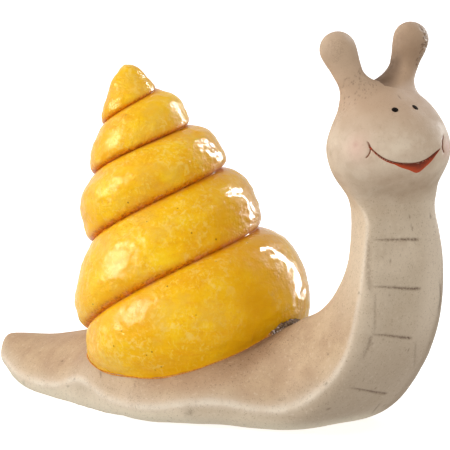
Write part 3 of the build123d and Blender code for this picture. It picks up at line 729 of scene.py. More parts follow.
# ------------------------------------------------------------------ tentacles
def build_tentacle(name, root, tip, r_root, r_stalk, r_bulb, flares, inward, right_hand):
    root, tip = np.array(root, float), np.array(tip, float)
    ax = tip - root
    length = np.linalg.norm(ax)
    ax /= length
    x = np.cross(ax, [0, 1, 0])
    x /= np.linalg.norm(x)
    y = np.cross(ax, x)
    u_knots = np.array([-14, 0, length * 0.33, length * 0.60, length * 0.84, length, length + r_bulb * 0.5,
                        length + r_bulb * 0.8, length + r_bulb * 0.95, length + r_bulb])
    r_knots = np.array([r_root + 2.5, r_root + 0.4, r_stalk, r_stalk * 1.07, r_bulb * 0.955, r_bulb, r_bulb * 0.866,
                        r_bulb * 0.60, r_bulb * 0.312, 0.02])
    m = 112
    th = np.linspace(0, 2 * PI, m, endpoint=False)
    spoke = np.cos(th)[:, None] * x + np.sin(th)[:, None] * y
    facing_in = spoke @ (np.array(inward, float) / np.linalg.norm(inward))
    flare_of = flares[0] + (flares[1] - flares[0]) * smooth(facing_in, -0.2, 1.0)
    columns = []
    n_skirt, n_stalk = 26, 74
    for j in range(m):
        flare = float(flare_of[j])

        def head_at(rho):
            start = root + spoke[j] * rho + ax * 22
            hit = plain.ray_cast(Vector(start), Vector(-ax), 90)
            if hit[0] is None:
                return None
            return 22 - hit[3]
        start = head_at(r_root) or 0.0
        u0 = start + flare
        r0 = float(pchip(u_knots, r_knots, [u0])[0])
        slope = float((pchip(u_knots, r_knots, [u0 + 0.5])[0] - r0) / 0.5)
        col = []
        psi = np.linspace(PI / 2, 0, n_skirt)
        for a in psi:
            rho = r0 + flare * (1 - math.cos(a)) - slope * flare * (1 - math.sin(a)) * 0.0
            h = flare * (1 - math.sin(a))
            base = head_at(rho)
            if base is None:
                base = start - (rho - r_root) * 1.2
            q = root + spoke[j] * rho + ax * (base + h)
            col.append(q)
        rest = spread([u0, length, length + r_bulb], [1, 1.1, 2.2], n_stalk + 1)[1:]
        rr = pchip(u_knots, r_knots, rest)
        tipward = length + r_bulb * np.sin(np.linspace(0, PI / 2, 22))
        for uu, r in zip(rest, rr):
            if uu > length:
                r = r_bulb * math.sqrt(max(0.0, 1 - ((uu - length) / r_bulb) ** 2))
            col.append(root + spoke[j] * max(r, 0.02) + ax * uu)
        columns.append(col)
    grid = np.array(columns).transpose(1, 0, 2)
    # the joint of the skirt and stalk is eased round the ring and along it
    for _ in range(3):
        grid[1:-1] = grid[1:-1] * 0.5 + (grid[:-2] + grid[2:]) * 0.25
    for _ in range(6):
        grid[:n_skirt] = grid[:n_skirt] * 0.5 + (np.roll(grid[:n_skirt], 1, 1) + np.roll(grid[:n_skirt], -1, 1)) * 0.25
    nrm = grid_normals(grid)
    if (nrm[60] * (grid[60] - grid[60].mean(0))).sum() < 0:
        nrm = -nrm
    flat, nf = grid.reshape(-1, 3), nrm.reshape(-1, 3)
    row = np.repeat(np.arange(len(grid)), m)
    ang = np.tile(th, len(grid))
    move = 0.30 * lumps(flat, 16.0, 4.4) + 0.12 * lumps(flat, 6.0, 8.8) + 0.03 * lumps(flat, 2.4, 2.8)
    pits = np.zeros(len(flat))
    rng = np.random.default_rng(5 if right_hand else 6)
    if right_hand:
        # a ring of pits where the stalk was pressed on
        keep = np.nonzero((row > 4) & (row < 34))[0]
        picked = rng.choice(keep, 230, replace=False)
        for k in picked:
            r = rng.uniform(0.24, 0.50)
            pits = np.maximum(pits, np.exp(-((np.linalg.norm(flat - flat[k], axis=1) / r) ** 2)) * rng.uniform(0.15, 0.8))
    else:
        # the mould's parting line up the outer side
        side = np.array([0.77, 0.64, 0.0])
        facing = np.abs(np.arctan2((flat - root) @ np.cross(ax, side), (flat - root) @ side) + 0.32)
        line = np.exp(-((facing / 0.16) ** 2)) * (row > 34) * (row < 92)
        move += line * 0.32 * lumps(flat, 1.5, 7.1)
        keep = np.nonzero(line > 0.35)[0]
        picked = rng.choice(keep, 90, replace=False)
        for k in picked:
            r = rng.uniform(0.28, 0.65)
            pits = np.maximum(pits, np.exp(-((np.linalg.norm(flat - flat[k], axis=1) / r) ** 2)) * rng.uniform(0.7, 1))
    fade = smooth(row, 0, 5)
    move = (move - 0.30 * pits) * fade
    # the outer rim dives just under the skin of the head
    dive = -0.32 * (1 - smooth(row, 0, 3))
    flat = flat + nf * (move + dive)[:, None]
    h = len(grid)
    pts = np.vstack([flat, flat[:m].mean(0) - ax * 4.0, flat[-m:].mean(0) + ax * 0.02])
    stem = smooth(row, n_skirt - 4, n_skirt + 14) * (1 - smooth(row, n_skirt + 30, n_skirt + 52))
    # painted shade on the inner side of the far stalk's root, partly a darker wash; the near stalk gets none
    shade_way = np.array([-0.45, -0.89, 0.0])
    inner_root_wash_and_shade = (1 - smooth(row, n_skirt - 6, n_skirt + 22)) * smooth(np.tile(spoke @ shade_way, len(grid)), 0.25, 0.85)
    if right_hand:
        inner_root_wash_and_shade = inner_root_wash_and_shade * 0.0

    def full(v, b=0.0):
        return np.concatenate([v, [0, b]])

    return make_mesh(
        name, pts, grid_faces(h, m),
        {"head": np.ones(len(pts)), "pits": full(pits), "stem": full(stem), "inner": full(inner_root_wash_and_shade)},
    )


right_tentacle = build_tentacle(
    "right_eyestalk", (133.0, -15.2, 201.5), (124.6, -22.6, 227.7), 9.8, 8.3, 10.5, (8.5, 10.0), (0.4, 1, 0), True)
left_tentacle = build_tentacle(
    "left_eyestalk", (142.6, 9.6, 203.5), (145.0, 19.0, 231.0), 9.2, 7.9, 10.3, (8.0, 12.0), (-0.4, -1, 0), False)


# ------------------------------------------------------------------ eyes
def build_eye(name, spot, direction, wide, tall, turn, high):
    place, out = on_body(spot)
    out = out / np.linalg.norm(out)
    level = np.array([math.cos(math.radians(40)), math.sin(math.radians(40)), 0])
    x = level - (level @ out) * out
    x /= np.linalg.norm(x)
    y = np.cross(out, x)
    c, s = math.cos(turn), math.sin(turn)
    x, y = c * x + s * y, c * y - s * x
    rings, m = 16, 48
    pts = []
    for i in range(rings):
        f = i / (rings - 1)
        r = math.sin(f * PI / 2 * 1.12) if f < 0.9 else math.sin(0.9 * PI / 2 * 1.12) * (1 + (f - 0.9) * 0.5)
        r = f**0.85
        h = high * math.sqrt(max(0, 1 - (r * 0.985) ** 2.4)) - 0.12 * (f > 0.98)
        for j in range(m):
            a = 2 * PI * j / m
            q = place + x * math.cos(a) * r * wide / 2 + y * math.sin(a) * r * tall / 2
            q, n = on_body(q, h - 0.02)
            pts.append(q)
    base = []
    pts = np.array(pts)
    for j in range(m):
        base.append(pts[(rings - 1) * m + j] - out * 0.9)
    pts = np.vstack([pts, base])
    faces = [tuple((0 * m + j) for j in range(m))[::-1]]
    for i in range(rings):
        for j in range(m):
            k = (j + 1) % m
            faces.append((i * m + j, i * m + k, (i + 1) * m + k, (i + 1) * m + j))
    faces.append(tuple(rings * m + j for j in range(m)))
    return make_mesh(name, pts, faces, weld=0.004)


near_eye = build_eye("right_eye_dot", *EYE_NEAR, 4.0, 3.3, 0.05, 0.55)
far_eye = build_eye("left_eye_dot", *EYE_FAR, 4.0, 2.9, -0.45, 0.5)


# ------------------------------------------------------------------ mouth
def build_mouth():
    n, m = 150, 14
    f = np.linspace(0, 1, n)
    t = np.linspace(0, 1, len(SMILE))
    top = cubic(t, SMILE, 0.02 + 0.965 * f)
    t = np.linspace(0, 1, len(LIP))
    full = cubic(t, LIP, f)
    # the lower edge leaves the smile line at its right end and fills out under the middle
    start = 0.36
    low = np.zeros_like(top)
    lip_at = np.clip((f - start) / (1 - start), 0, 1)
    lip = cubic(t, LIP, lip_at)
    down = np.array([0, 0, -1.0])
    for i in range(n):
        thin = top[i] + down * (0.25 + 1.05 * min(1, f[i] / start))
        if f[i] < start:
            low[i] = thin
        else:
            blend = float(smooth(f[i], start, start + 0.10))
            low[i] = thin * (1 - blend) + lip[i] * blend
    upper, lower = [], []
    for i in range(n):
        row = []
        for j in range(m):
            v = j / (m - 1)
            q = top[i] * (1 - v) + low[i] * v
            edge = 1 - abs(2 * v - 1) ** 6
            ends = min(1.0, min(f[i], 1 - f[i]) * 30)
            q, nr = on_body(q, -0.10 + 0.26 * edge * ends)
            row.append(q)
            lower.append(q - nr * 0.75)
        upper.append(row)
    up = np.array(upper).reshape(-1, 3)
    dn = np.array(lower)
    pts = np.vstack([up, dn])
    faces = []
    k = n * m
    for i in range(n - 1):
        for j in range(m - 1):
            a = i * m + j
            faces.append((a, a + 1, a + m + 1, a + m))
            faces.append((k + a, k + a + m, k + a + m + 1, k + a + 1))
        faces.append((i * m, (i + 1) * m, k + (i + 1) * m, k + i * m))
        a = i * m + m - 1
        faces.append((a, k + a, k + a + m, a + m))
    for j in range(m - 1):
        faces.append((j, k + j, k + j + 1, j + 1))
        a = (n - 1) * m + j
        faces.append((a, a + 1, k + a + 1, k + a))
    v = np.tile(np.linspace(0, 1, m), n)
    return make_mesh("mouth_paint", pts, faces, {"lower": np.concatenate([v, v])})


mouth = build_mouth()

# ------------------------------------------------------------------ materials


def lin(r, g, b):
    out = []
    for v in (r, g, b):
        v = v / 255
        out.append(v / 12.92 if v <= 0.04045 else ((v + 0.055) / 1.055) ** 2.4)
    return (*out, 1.0)


class Shade:
    """A small helper that wires up a node material."""

    def __init__(self, name):
        self.mat = bpy.data.materials.new(name)
        self.mat.use_nodes = True
        self.tree = self.mat.node_tree
        self.tree.nodes.clear()
        self.out = self.tree.nodes.new("ShaderNodeOutputMaterial")
        self.bsdf = self.tree.nodes.new("ShaderNodeBsdfPrincipled")
        self.tree.links.new(self.bsdf.outputs[0], self.out.inputs[0])
        self.coord = self.tree.nodes.new("ShaderNodeTexCoord").outputs["Object"]

    def put(self, socket, value):
        if isinstance(value, bpy.types.NodeSocket):
            self.tree.links.new(value, socket)
        else:
            socket.default_value = value

    def attr(self, name):
        n = self.tree.nodes.new("ShaderNodeAttribute")
        n.attribute_name = name
        return n.outputs["Fac"]

    def noise(self, size, detail=2.0, rough=0.5, stretch=None, offset=None, distortion=0.0):
        """Noise with features of about that size in mm."""
        v = self.coord
        if stretch or offset:
            mp = self.tree.nodes.new("ShaderNodeMapping")
            self.put(mp.inputs["Vector"], v)
            if stretch:
                mp.inputs["Scale"].default_value = stretch
            if offset:
                mp.inputs["Location"].default_value = offset
            v = mp.outputs[0]
        n = self.tree.nodes.new("ShaderNodeTexNoise")
        self.put(n.inputs["Vector"], v)
        n.inputs["Scale"].default_value = 1000.0 / size
        n.inputs["Detail"].default_value = detail
        n.inputs["Roughness"].default_value = rough
        n.inputs["Distortion"].default_value = distortion
        return n.outputs["Fac"]

    def cells(self, size, feature="F1", random=1.0):
        n = self.tree.nodes.new("ShaderNodeTexVoronoi")
        n.feature = feature
        self.put(n.inputs["Vector"], self.coord)
        n.inputs["Scale"].default_value = 1000.0 / size
        n.inputs["Randomness"].default_value = random
        return n.outputs["Distance"]

    def ramp(self, value, lo, hi, a=0.0, b=1.0):
        n = self.tree.nodes.new("ShaderNodeMapRange")
        n.interpolation_type = "SMOOTHSTEP"
        self.put(n.inputs["Value"], value)
        n.inputs["From Min"].default_value, n.inputs["From Max"].default_value = lo, hi
        n.inputs["To Min"].default_value, n.inputs["To Max"].default_value = a, b
        return n.outputs["Result"]

    def math(self, op, a, b=0.0):
        n = self.tree.nodes.new("ShaderNodeMath")
        n.operation = op
        self.put(n.inputs[0], a)
        self.put(n.inputs[1], b)
        return n.outputs[0]

    def mul(self, *values):
        out = values[0]
        for v in values[1:]:
            out = self.math("MULTIPLY", out, v)
        return out

    def mix(self, fac, a, b, blend="MIX"):
        n = self.tree.nodes.new("ShaderNodeMix")
        n.data_type = "RGBA"
        n.blend_type = blend
        n.clamp_factor = True
        self.put(n.inputs[0], fac)
        self.put(n.inputs[6], a)
        self.put(n.inputs[7], b)
        return n.outputs[2]

    def axis(self, k):
        n = self.tree.nodes.new("ShaderNodeSeparateXYZ")
        self.put(n.inputs[0], self.coord)
        return n.outputs[k]

    def up(self):
        """How far the surface faces the sky, -1 to 1."""
        g = self.tree.nodes.new("ShaderNodeNewGeometry")
        n = self.tree.nodes.new("ShaderNodeSeparateXYZ")
        self.put(n.inputs[0], g.outputs["Normal"])
        return n.outputs[2]

    def bump(self, *layers):
        """Height layers of (value, millimetres)."""
        normal = None
        for value, mm in layers:
            b = self.tree.nodes.new("ShaderNodeBump")
            b.inputs["Strength"].default_value = 1.0
            b.inputs["Distance"].default_value = mm * MM
            self.put(b.inputs["Height"], value)
            if normal is not None:
                self.put(b.inputs["Normal"], normal)
            normal = b.outputs[0]
        self.put(self.bsdf.inputs["Normal"], normal)


def clay(name):
    """Matte washed clay: warm on the back, grey on the belly, pale on the ridges, dark in the cuts, with painted light
    and shade.
    """
    s = Shade(name)
    belly, ridge, head = s.attr("belly"), s.attr("ridge"), s.attr("head")
    broad, patch, grain, dust = s.noise(38, 2), s.noise(12, 3, 0.6), s.noise(2.2, 3, 0.65), s.noise(0.85, 2, 0.6)
    broad_b = s.noise(55, 2, 0.5, offset=(0.3, 0.1, 0.7))
    warm = s.mix(s.ramp(broad, 0.35, 0.65), lin(196, 166, 131), lin(182, 150, 118))
    warm = s.mix(s.mul(s.ramp(patch, 0.42, 0.72), 0.55), warm, lin(178, 147, 116))
    cool = s.mix(s.ramp(broad, 0.35, 0.65), lin(212, 193, 168), lin(198, 179, 154))
    cool = s.mix(s.mul(s.ramp(patch, 0.45, 0.75), 0.5), cool, lin(190, 169, 143))
    face = s.mix(s.ramp(broad, 0.36, 0.66), lin(212, 192, 168), lin(198, 174, 149))
    face = s.mix(s.mul(s.ramp(patch, 0.45, 0.72), 0.4), face, lin(190, 163, 138))
    blot = s.noise(10, 3, 0.6, offset=(0.2, 0.7, 0.4))
    face = s.mix(s.mul(s.ramp(blot, 0.50, 0.70), 0.24), face, lin(168, 142, 114))
    face = s.mix(s.mul(s.ramp(blot, 0.48, 0.32), 0.35), face, lin(224, 207, 184))
    colour = s.mix(belly, warm, cool)
    colour = s.mix(head, colour, face)
    z = s.axis(2)
    # the upper neck is paler at the back, a painted highlight; the crown and the stalks are browner, the near stalk
    # paler
    nape_painted_highlight = s.mul(s.math("SUBTRACT", 1.0, belly), s.ramp(z, 0.052, 0.110), 0.80)
    nape_painted_highlight = s.mul(nape_painted_highlight, s.math("SUBTRACT", 1.0, head))
    colour = s.mix(nape_painted_highlight, colour, lin(222, 202, 175))
    crown = s.mul(head, s.ramp(z, 0.176, 0.200), 0.85)
    colour = s.mix(crown, colour, lin(186, 155, 127))
    bulb = s.mul(head, s.ramp(z, 0.212, 0.229), 0.38)
    colour = s.mix(bulb, colour, lin(150, 124, 99))
    near_stalk = s.mul(head, s.ramp(z, 0.205, 0.214), s.ramp(s.axis(1), -0.008, -0.018), s.ramp(patch, 0.30, 0.65, 0.65, 1.0), 0.38)
    colour = s.mix(near_stalk, colour, lin(212, 186, 158))
    # painted light and shade on the belly: lighter on its right half, darker where it turns away at the right edge, and
    # darker on the low front
    belly_right_painted_light = s.mul(belly, s.ramp(s.axis(1), 0.000, 0.014), s.ramp(s.axis(1), 0.026, 0.018), s.math("SUBTRACT", 1.0, head), 0.75)
    colour = s.mix(belly_right_painted_light, colour, lin(222, 204, 181))
    turned_away_painted_shade = s.mul(belly, s.ramp(s.axis(1), 0.019, 0.025), s.math("SUBTRACT", 1.0, head), 0.60)
    colour = s.mix(turned_away_painted_shade, colour, lin(152, 132, 109))
    # painted shade along the belly's outer right edge
    edge = s.mul(belly, s.ramp(s.axis(1), 0.026, 0.036), s.math("SUBTRACT", 1.0, head), 0.35)
    colour = s.mix(edge, colour, lin(168, 148, 122))
    low_front_painted_shade = s.mul(belly, s.ramp(z, 0.085, 0.035), s.ramp(s.axis(0), 0.070, 0.120), 0.75)
    colour = s.mix(low_front_painted_shade, colour, lin(176, 156, 133))
    # pale ridges, partly rubbed wash and partly painted highlight where the rounded edge catches light, with a faint
    # paler band beside them on the back
    beside = s.mul(s.attr("halo"), s.ramp(broad_b, 0.35, 0.60, 0.45, 1.0), 0.40)
    colour = s.mix(beside, colour, lin(222, 206, 182))
    ridge_rub_and_highlight = s.mul(ridge, s.ramp(patch, 0.30, 0.62, 0.60, 1.0), 0.88)
    colour = s.mix(ridge_rub_and_highlight, colour, lin(226, 212, 192))
    # olive-grey foot band
    foot = s.mul(s.attr("low"), s.ramp(broad_b, 0.35, 0.62, 0.60, 0.95))
    colour = s.mix(foot, colour, lin(222, 209, 184))
    stain = s.mul(s.attr("low"), s.ramp(s.noise(20, 2, 0.5, offset=(0.9, 0.2, 0.4)), 0.60, 0.75), 0.45)
    colour = s.mix(stain, colour, lin(150, 146, 118))
    # painted shade, partly a darker wash: under the chin, up the far stalk and at its inner root, and on the clay
    # beside the shell
    wash_and_painted_shade = s.mul(s.attr("chin"), s.ramp(patch, 0.25, 0.7, 0.45, 1.0), 0.38)
    colour = s.mix(wash_and_painted_shade, colour, lin(150, 127, 102))
    wash_and_painted_shade = s.mul(s.attr("stem"), s.ramp(patch, 0.3, 0.7, 0.5, 1.0), s.mul(s.ramp(s.axis(1), -0.008, 0.004), 0.42))
    colour = s.mix(wash_and_painted_shade, colour, lin(136, 108, 83))
    wash_and_painted_shade = s.mul(s.attr("inner"), s.ramp(patch, 0.3, 0.7, 0.8, 1.0), 0.85)
    colour = s.mix(wash_and_painted_shade, colour, lin(92, 70, 54))
    seam = s.attr("seam")
    wash_and_painted_shade = s.mul(s.ramp(seam, 0.05, 0.60), s.ramp(s.noise(9, 3, 0.6), 0.3, 0.7, 0.60, 1.0), 0.90)
    colour = s.mix(wash_and_painted_shade, colour, lin(156, 124, 94))
    wash_and_painted_shade = s.mul(s.ramp(seam, 0.72, 0.98), s.ramp(s.noise(6, 3, 0.6), 0.3, 0.7, 0.5, 1.0), 0.70)
    colour = s.mix(wash_and_painted_shade, colour, lin(120, 90, 66))
    crack = s.noise(3.4, 4, 0.7, offset=(0.3, 0.9, 0.2), distortion=1.4)
    thin = s.mul(s.ramp(crack, 0.470, 0.495), s.ramp(crack, 0.530, 0.505), s.ramp(s.noise(15, 2, 0.5, offset=(0.8, 0.1, 0.3)), 0.50, 0.64))
    thin = s.mul(thin, s.math("SUBTRACT", 1.0, s.mul(belly, 0.8)), 0.28)
    colour = s.mix(thin, colour, lin(112, 86, 62))
    # fine speckle of the washed glaze, denser on the back beside the shell
    dense = s.math("ADD", s.mul(s.ramp(seam, 0.05, 0.6), 0.55), 0.38)
    dense = s.mul(dense, s.math("SUBTRACT", 1.0, s.mul(head, 0.65)))
    dots = s.mul(s.ramp(dust, 0.54, 0.66), s.ramp(grain, 0.42, 0.60), dense)
    colour = s.mix(dots, colour, lin(112, 86, 64))
    pale = s.mul(s.ramp(grain, 0.42, 0.28), s.math("SUBTRACT", 0.20, s.mul(head, 0.20)))
    colour = s.mix(pale, colour, lin(236, 220, 198))
    colour = s.mix(s.mul(s.attr("pits"), 0.85), colour, lin(98, 72, 52))
    colour = s.mix(s.mul(s.attr("marks"), s.ramp(s.noise(1.6, 3, 0.65), 0.35, 0.55, 0.45, 1.0)), colour, lin(104, 82, 62))
    colour = s.mix(s.mul(s.attr("groove"), s.ramp(s.noise(1.5, 3, 0.65), 0.36, 0.58, 0.40, 1.0), 0.98), colour, lin(94, 70, 52))
    colour = s.mix(s.mul(s.attr("blush"), 0.42), colour, lin(218, 170, 154))
    colour = s.mix(s.mul(s.attr("freckle"), 0.40), colour, lin(188, 134, 124))
    colour = s.mix(s.ramp(s.attr("smile"), 0.18, 0.85), colour, lin(112, 58, 30))
    s.put(s.bsdf.inputs["Base Color"], colour)
    s.put(s.bsdf.inputs["Roughness"], s.ramp(patch, 0.3, 0.7, 0.62, 0.80))
    s.bsdf.inputs["Specular IOR Level"].default_value = 0.14
    s.bump((s.noise(1.1, 3, 0.6), 0.16), (dust, 0.05), (s.noise(4.5, 2, 0.5), 0.22))
    return s.mat


def glaze(name):
    """Thick yellow glaze over the whorls, thin and brown where it pools in the sutures."""
    s = Shade(name)
    below, above, crease, base = s.attr("below"), s.attr("above"), s.attr("crease"), s.attr("base")
    broad, patch, grain = s.noise(42, 2), s.noise(10, 3, 0.55), s.noise(2.6, 3, 0.6)
    strokes = s.noise(9, 3, 0.6, stretch=(0.55, 0.55, 2.0), distortion=0.6)
    colour = s.mix(s.ramp(broad, 0.36, 0.66), lin(250, 195, 12), lin(241, 175, 4))
    colour = s.mix(s.mul(s.ramp(strokes, 0.50, 0.72), 0.42), colour, lin(238, 154, 2))
    colour = s.mix(s.mul(s.ramp(s.noise(16, 2, 0.5, offset=(0.4, 0.8, 0.2)), 0.52, 0.74), 0.55), colour, lin(254, 212, 30))
    # pale crackle: little cream flecks in drifts
    cell = s.cells(3.6)
    blot = s.ramp(s.noise(4.2, 3, 0.6, offset=(0.25, 0.1, 0.6), distortion=0.7), 0.52, 0.64)
    drift = s.ramp(s.noise(26, 2, 0.5, offset=(0.15, 0.35, 0.75)), 0.44, 0.60)
    fleck = s.mul(s.ramp(cell, 0.56, 0.22), drift, s.ramp(grain, 0.38, 0.56))
    colour = s.mix(s.mul(fleck, 0.30), colour, lin(252, 216, 96))
    colour = s.mix(s.mul(blot, drift, 0.60), colour, lin(253, 216, 108))
    scrape = s.noise(3.0, 3, 0.62, stretch=(1.25, 1.25, 0.75), distortion=1.1)
    where = s.ramp(s.noise(20, 2, 0.5, offset=(0.7, 0.6, 0.1)), 0.38, 0.60, 0.25, 1.0)
    colour = s.mix(s.mul(s.ramp(scrape, 0.54, 0.64), where, 0.55), colour, lin(255, 218, 88))
    colour = s.mix(s.mul(s.ramp(scrape, 0.46, 0.36), where, 0.28), colour, lin(228, 142, 4))
    haze = s.mul(s.ramp(s.noise(24, 3, 0.55, offset=(0.65, 0.05, 0.35)), 0.50, 0.66), s.ramp(grain, 0.35, 0.6, 0.6, 1.0), 0.50)
    colour = s.mix(haze, colour, lin(234, 184, 72))
    # orange towards the lower edge of each whorl
    colour = s.mix(s.mul(s.ramp(below, 0.25, 1.0), 0.60), colour, lin(222, 134, 8))
    pin = s.noise(1.9, 3, 0.7)
    spots = s.mul(s.ramp(below, 0.55, 0.95), s.ramp(pin, 0.46, 0.58), s.ramp(patch, 0.34, 0.54, 0.25, 1.0))
    colour = s.mix(s.mul(spots, 0.90), colour, lin(126, 56, 6))
    # darker towards the right side of the shell, painted shade
    right_side_painted_shade = s.mul(s.ramp(s.math("ADD", s.mul(s.axis(0), 0.766), s.mul(s.axis(1), 0.643)), -0.020, 0.045), s.ramp(broad, 0.30, 0.55, 0.5, 1.0))
    colour = s.mix(s.mul(right_side_painted_shade, 0.78), colour, lin(220, 156, 14))
    rosy = s.mul(s.ramp(crease, 0.15, 0.7), s.ramp(patch, 0.50, 0.66))
    colour = s.mix(s.mul(rosy, 0.55), colour, lin(232, 170, 130))
    colour = s.mix(s.mul(crease, s.ramp(grain, 0.3, 0.6, 0.20, 0.80)), colour, lin(216, 122, 16))
    colour = s.mix(s.mul(above, 0.25), colour, lin(250, 180, 30))
    # rim where the glaze runs on to the joint
    colour = s.mix(s.mul(s.ramp(base, 0.25, 0.95), 0.75), colour, lin(255, 194, 32))
    colour = s.mix(s.mul(s.ramp(base, 0.84, 0.98), s.ramp(patch, 0.4, 0.6, 0.35, 1.0)), colour, lin(255, 200, 52))
    # sparse dark pinholes
    hole = s.mul(s.ramp(s.cells(9.0), 0.085, 0.05), s.ramp(patch, 0.45, 0.55), 0.7)
    colour = s.mix(hole, colour, lin(130, 76, 16))
    s.put(s.bsdf.inputs["Base Color"], colour)
    s.put(s.bsdf.inputs["Roughness"], s.ramp(patch, 0.3, 0.7, 0.26, 0.38))
    s.bsdf.inputs["Specular IOR Level"].default_value = 0.03
    s.bsdf.inputs["Coat Weight"].default_value = 0.40
    # duller towards the tail, glossier and smoother towards the neck
    s.put(s.bsdf.inputs["Coat Roughness"], s.ramp(s.axis(0), -0.035, 0.025, 0.24, 0.10))
    ease = s.ramp(s.axis(0), 0.000, 0.045, 1.0, 0.50)
    s.bsdf.inputs["Coat IOR"].default_value = 1.36
    curl = s.noise(4.2, 3, 0.55, stretch=(0.8, 0.8, 1.6), distortion=1.2)
    low_part = s.ramp(s.attr("phase"), 0.35, 0.85, 0.35, 1.0)
    s.bump((s.noise(3.6, 2, 0.5), 0.32), (s.mul(strokes, ease), 0.6), (s.mul(curl, low_part, ease), 0.60), (s.mul(scrape, where, ease), 0.50), (s.mul(s.ramp(below, 0.2, 0.9), pin), 0.6),
           (s.mul(s.ramp(cell, 0.42, 0.26), drift), 0.10), (s.noise(1.9, 2, 0.5), 0.07), (s.mul(s.noise(2.2, 2, 0.5, stretch=(1.0, 1.0, 0.55)), drift), 0.08))
    return s.mat


def cement_paste(name):
    """Grey and pinkish grout, rough, with dark grains."""
    s = Shade(name)
    grain, patch = s.noise(1.3, 3, 0.7), s.noise(4.0, 3, 0.6)
    colour = s.mix(s.ramp(patch, 0.40, 0.62), lin(146, 122, 98), lin(98, 78, 60))
    colour = s.mix(s.ramp(grain, 0.50, 0.62), colour, lin(62, 46, 34))
    # white specks: painted glints on the grout's grit
    colour = s.mix(s.mul(s.ramp(s.noise(2.0, 2, 0.5, offset=(0.5, 0.5, 0.1)), 0.56, 0.68), 0.8), colour, lin(232, 218, 212))
    colour = s.mix(s.ramp(s.attr("share"), 0.45, 0.05), colour, s.mix(s.ramp(grain, 0.4, 0.6), lin(222, 158, 70), lin(196, 124, 48)))
    s.put(s.bsdf.inputs["Base Color"], colour)
    s.put(s.bsdf.inputs["Roughness"], s.ramp(grain, 0.3, 0.7, 0.80, 0.97))
    s.bsdf.inputs["Specular IOR Level"].default_value = 0.10
    s.bump((grain, 0.4), (patch, 0.3))
    return s.mat


def black_enamel(name):
    s = Shade(name)
    n = s.noise(1.6, 2, 0.5)
    s.put(s.bsdf.inputs["Base Color"], s.mix(s.ramp(n, 0.35, 0.7), lin(20, 15, 12), lin(42, 32, 24)))
    s.put(s.bsdf.inputs["Roughness"], s.ramp(n, 0.3, 0.7, 0.78, 0.90))
    s.bsdf.inputs["Specular IOR Level"].default_value = 0.06
    s.bump((s.noise(1.2, 2, 0.5), 0.05))
    return s.mat


def red_enamel(name):
    s = Shade(name)
    n, low = s.noise(2.4, 3, 0.6), s.attr("lower")
    # darker towards the top edge of the paint: painted shade under the smile line
    colour = s.mix(s.ramp(low, 0.15, 0.95), lin(104, 38, 14), lin(186, 70, 24))
    colour = s.mix(s.mul(s.ramp(n, 0.45, 0.7), 0.6), colour, lin(170, 58, 18))
    s.put(s.bsdf.inputs["Base Color"], colour)
    s.put(s.bsdf.inputs["Roughness"], s.ramp(n, 0.3, 0.7, 0.42, 0.56))
    s.bsdf.inputs["Specular IOR Level"].default_value = 0.25
    s.bump((n, 0.05))
    return s.mat


clay_mat = clay("washed_clay_look")
glaze_mat = glaze("yellow_glaze_look")
for piece, node, mat, slot in (
    (body, "body_casting", clay_mat, "washed_clay"),
    (right_tentacle, "right_tentacle", clay_mat, "washed_clay"),
    (left_tentacle, "left_tentacle", clay_mat, "washed_clay"),
    (shell, "shell_casting", glaze_mat, "yellow_glaze"),
    (cement, "shell_cement", cement_paste("cement_look"), "cement"),
    (near_eye, "right_eye", black_enamel("black_enamel_look"), "black_enamel"),
    (far_eye, "left_eye", None, "black_enamel"),
    (mouth, "mouth_enamel", red_enamel("red_enamel_look"), "orange_red_enamel"),
):
    piece.data.materials.clear()
    piece.data.materials.append(mat or bpy.data.materials["black_enamel_look"])
    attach(piece, "root")
    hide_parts(node)

# ------------------------------------------------------------------ stage, light, camera
CAMERA_AZ, CAMERA_EL, CAMERA_FAR = 40.0, 10.0, 3.0


def direction(azimuth, elevation):
    a, e = math.radians(azimuth), math.radians(elevation)
    return Vector((math.sin(a) * math.cos(e), -math.cos(a) * math.cos(e), math.sin(e)))


bm = bmesh.new()
for x in range(41):
    for y in range(41):
        bm.verts.new(((x - 20) * 0.6, (y - 20) * 0.6, -0.0002))
bm.verts.ensure_lookup_table()
for x in range(40):
    for y in range(40):
        bm.faces.new([bm.verts[k] for k in (x * 41 + y, (x + 1) * 41 + y, (x + 1) * 41 + y + 1, x * 41 + y + 1)])
floor_mesh = bpy.data.meshes.new("floor")
bm.to_mesh(floor_mesh)
bm.free()
floor = bpy.data.objects.new("floor", floor_mesh)
bpy.context.scene.collection.objects.link(floor)
s = Shade("floor_look")
s.put(s.bsdf.inputs["Base Color"], s.mix(s.noise(900, 2), (0.86, 0.86, 0.86, 1), (0.88, 0.88, 0.875, 1)))
s.bsdf.inputs["Roughness"].default_value = 0.9
s.bsdf.inputs["Specular IOR Level"].default_value = 0.1
s.bsdf.inputs["Emission Color"].default_value = (1, 1, 1, 1)
s.bsdf.inputs["Emission Strength"].default_value = 0.62
floor.data.materials.append(s.mat)
floor.visible_diffuse = False
floor.visible_glossy = False


def softbox(name, azimuth, elevation, far, wide, tall, power, colour=(1, 1, 1), aim=(0.02, 0.0, 0.11)):
    lamp = bpy.data.lights.new(name, "AREA")
    lamp.shape = "RECTANGLE"
    lamp.size, lamp.size_y = wide, tall
    lamp.energy = power
    lamp.color = colour
    obj = bpy.data.objects.new(name, lamp)
    bpy.context.scene.collection.objects.link(obj)
    aim = Vector(aim)
    obj.location = aim + direction(azimuth, elevation) * far
    obj.rotation_mode = "QUATERNION"
    obj.rotation_quaternion = (aim - obj.location).to_track_quat("-Z", "Y")
    return obj


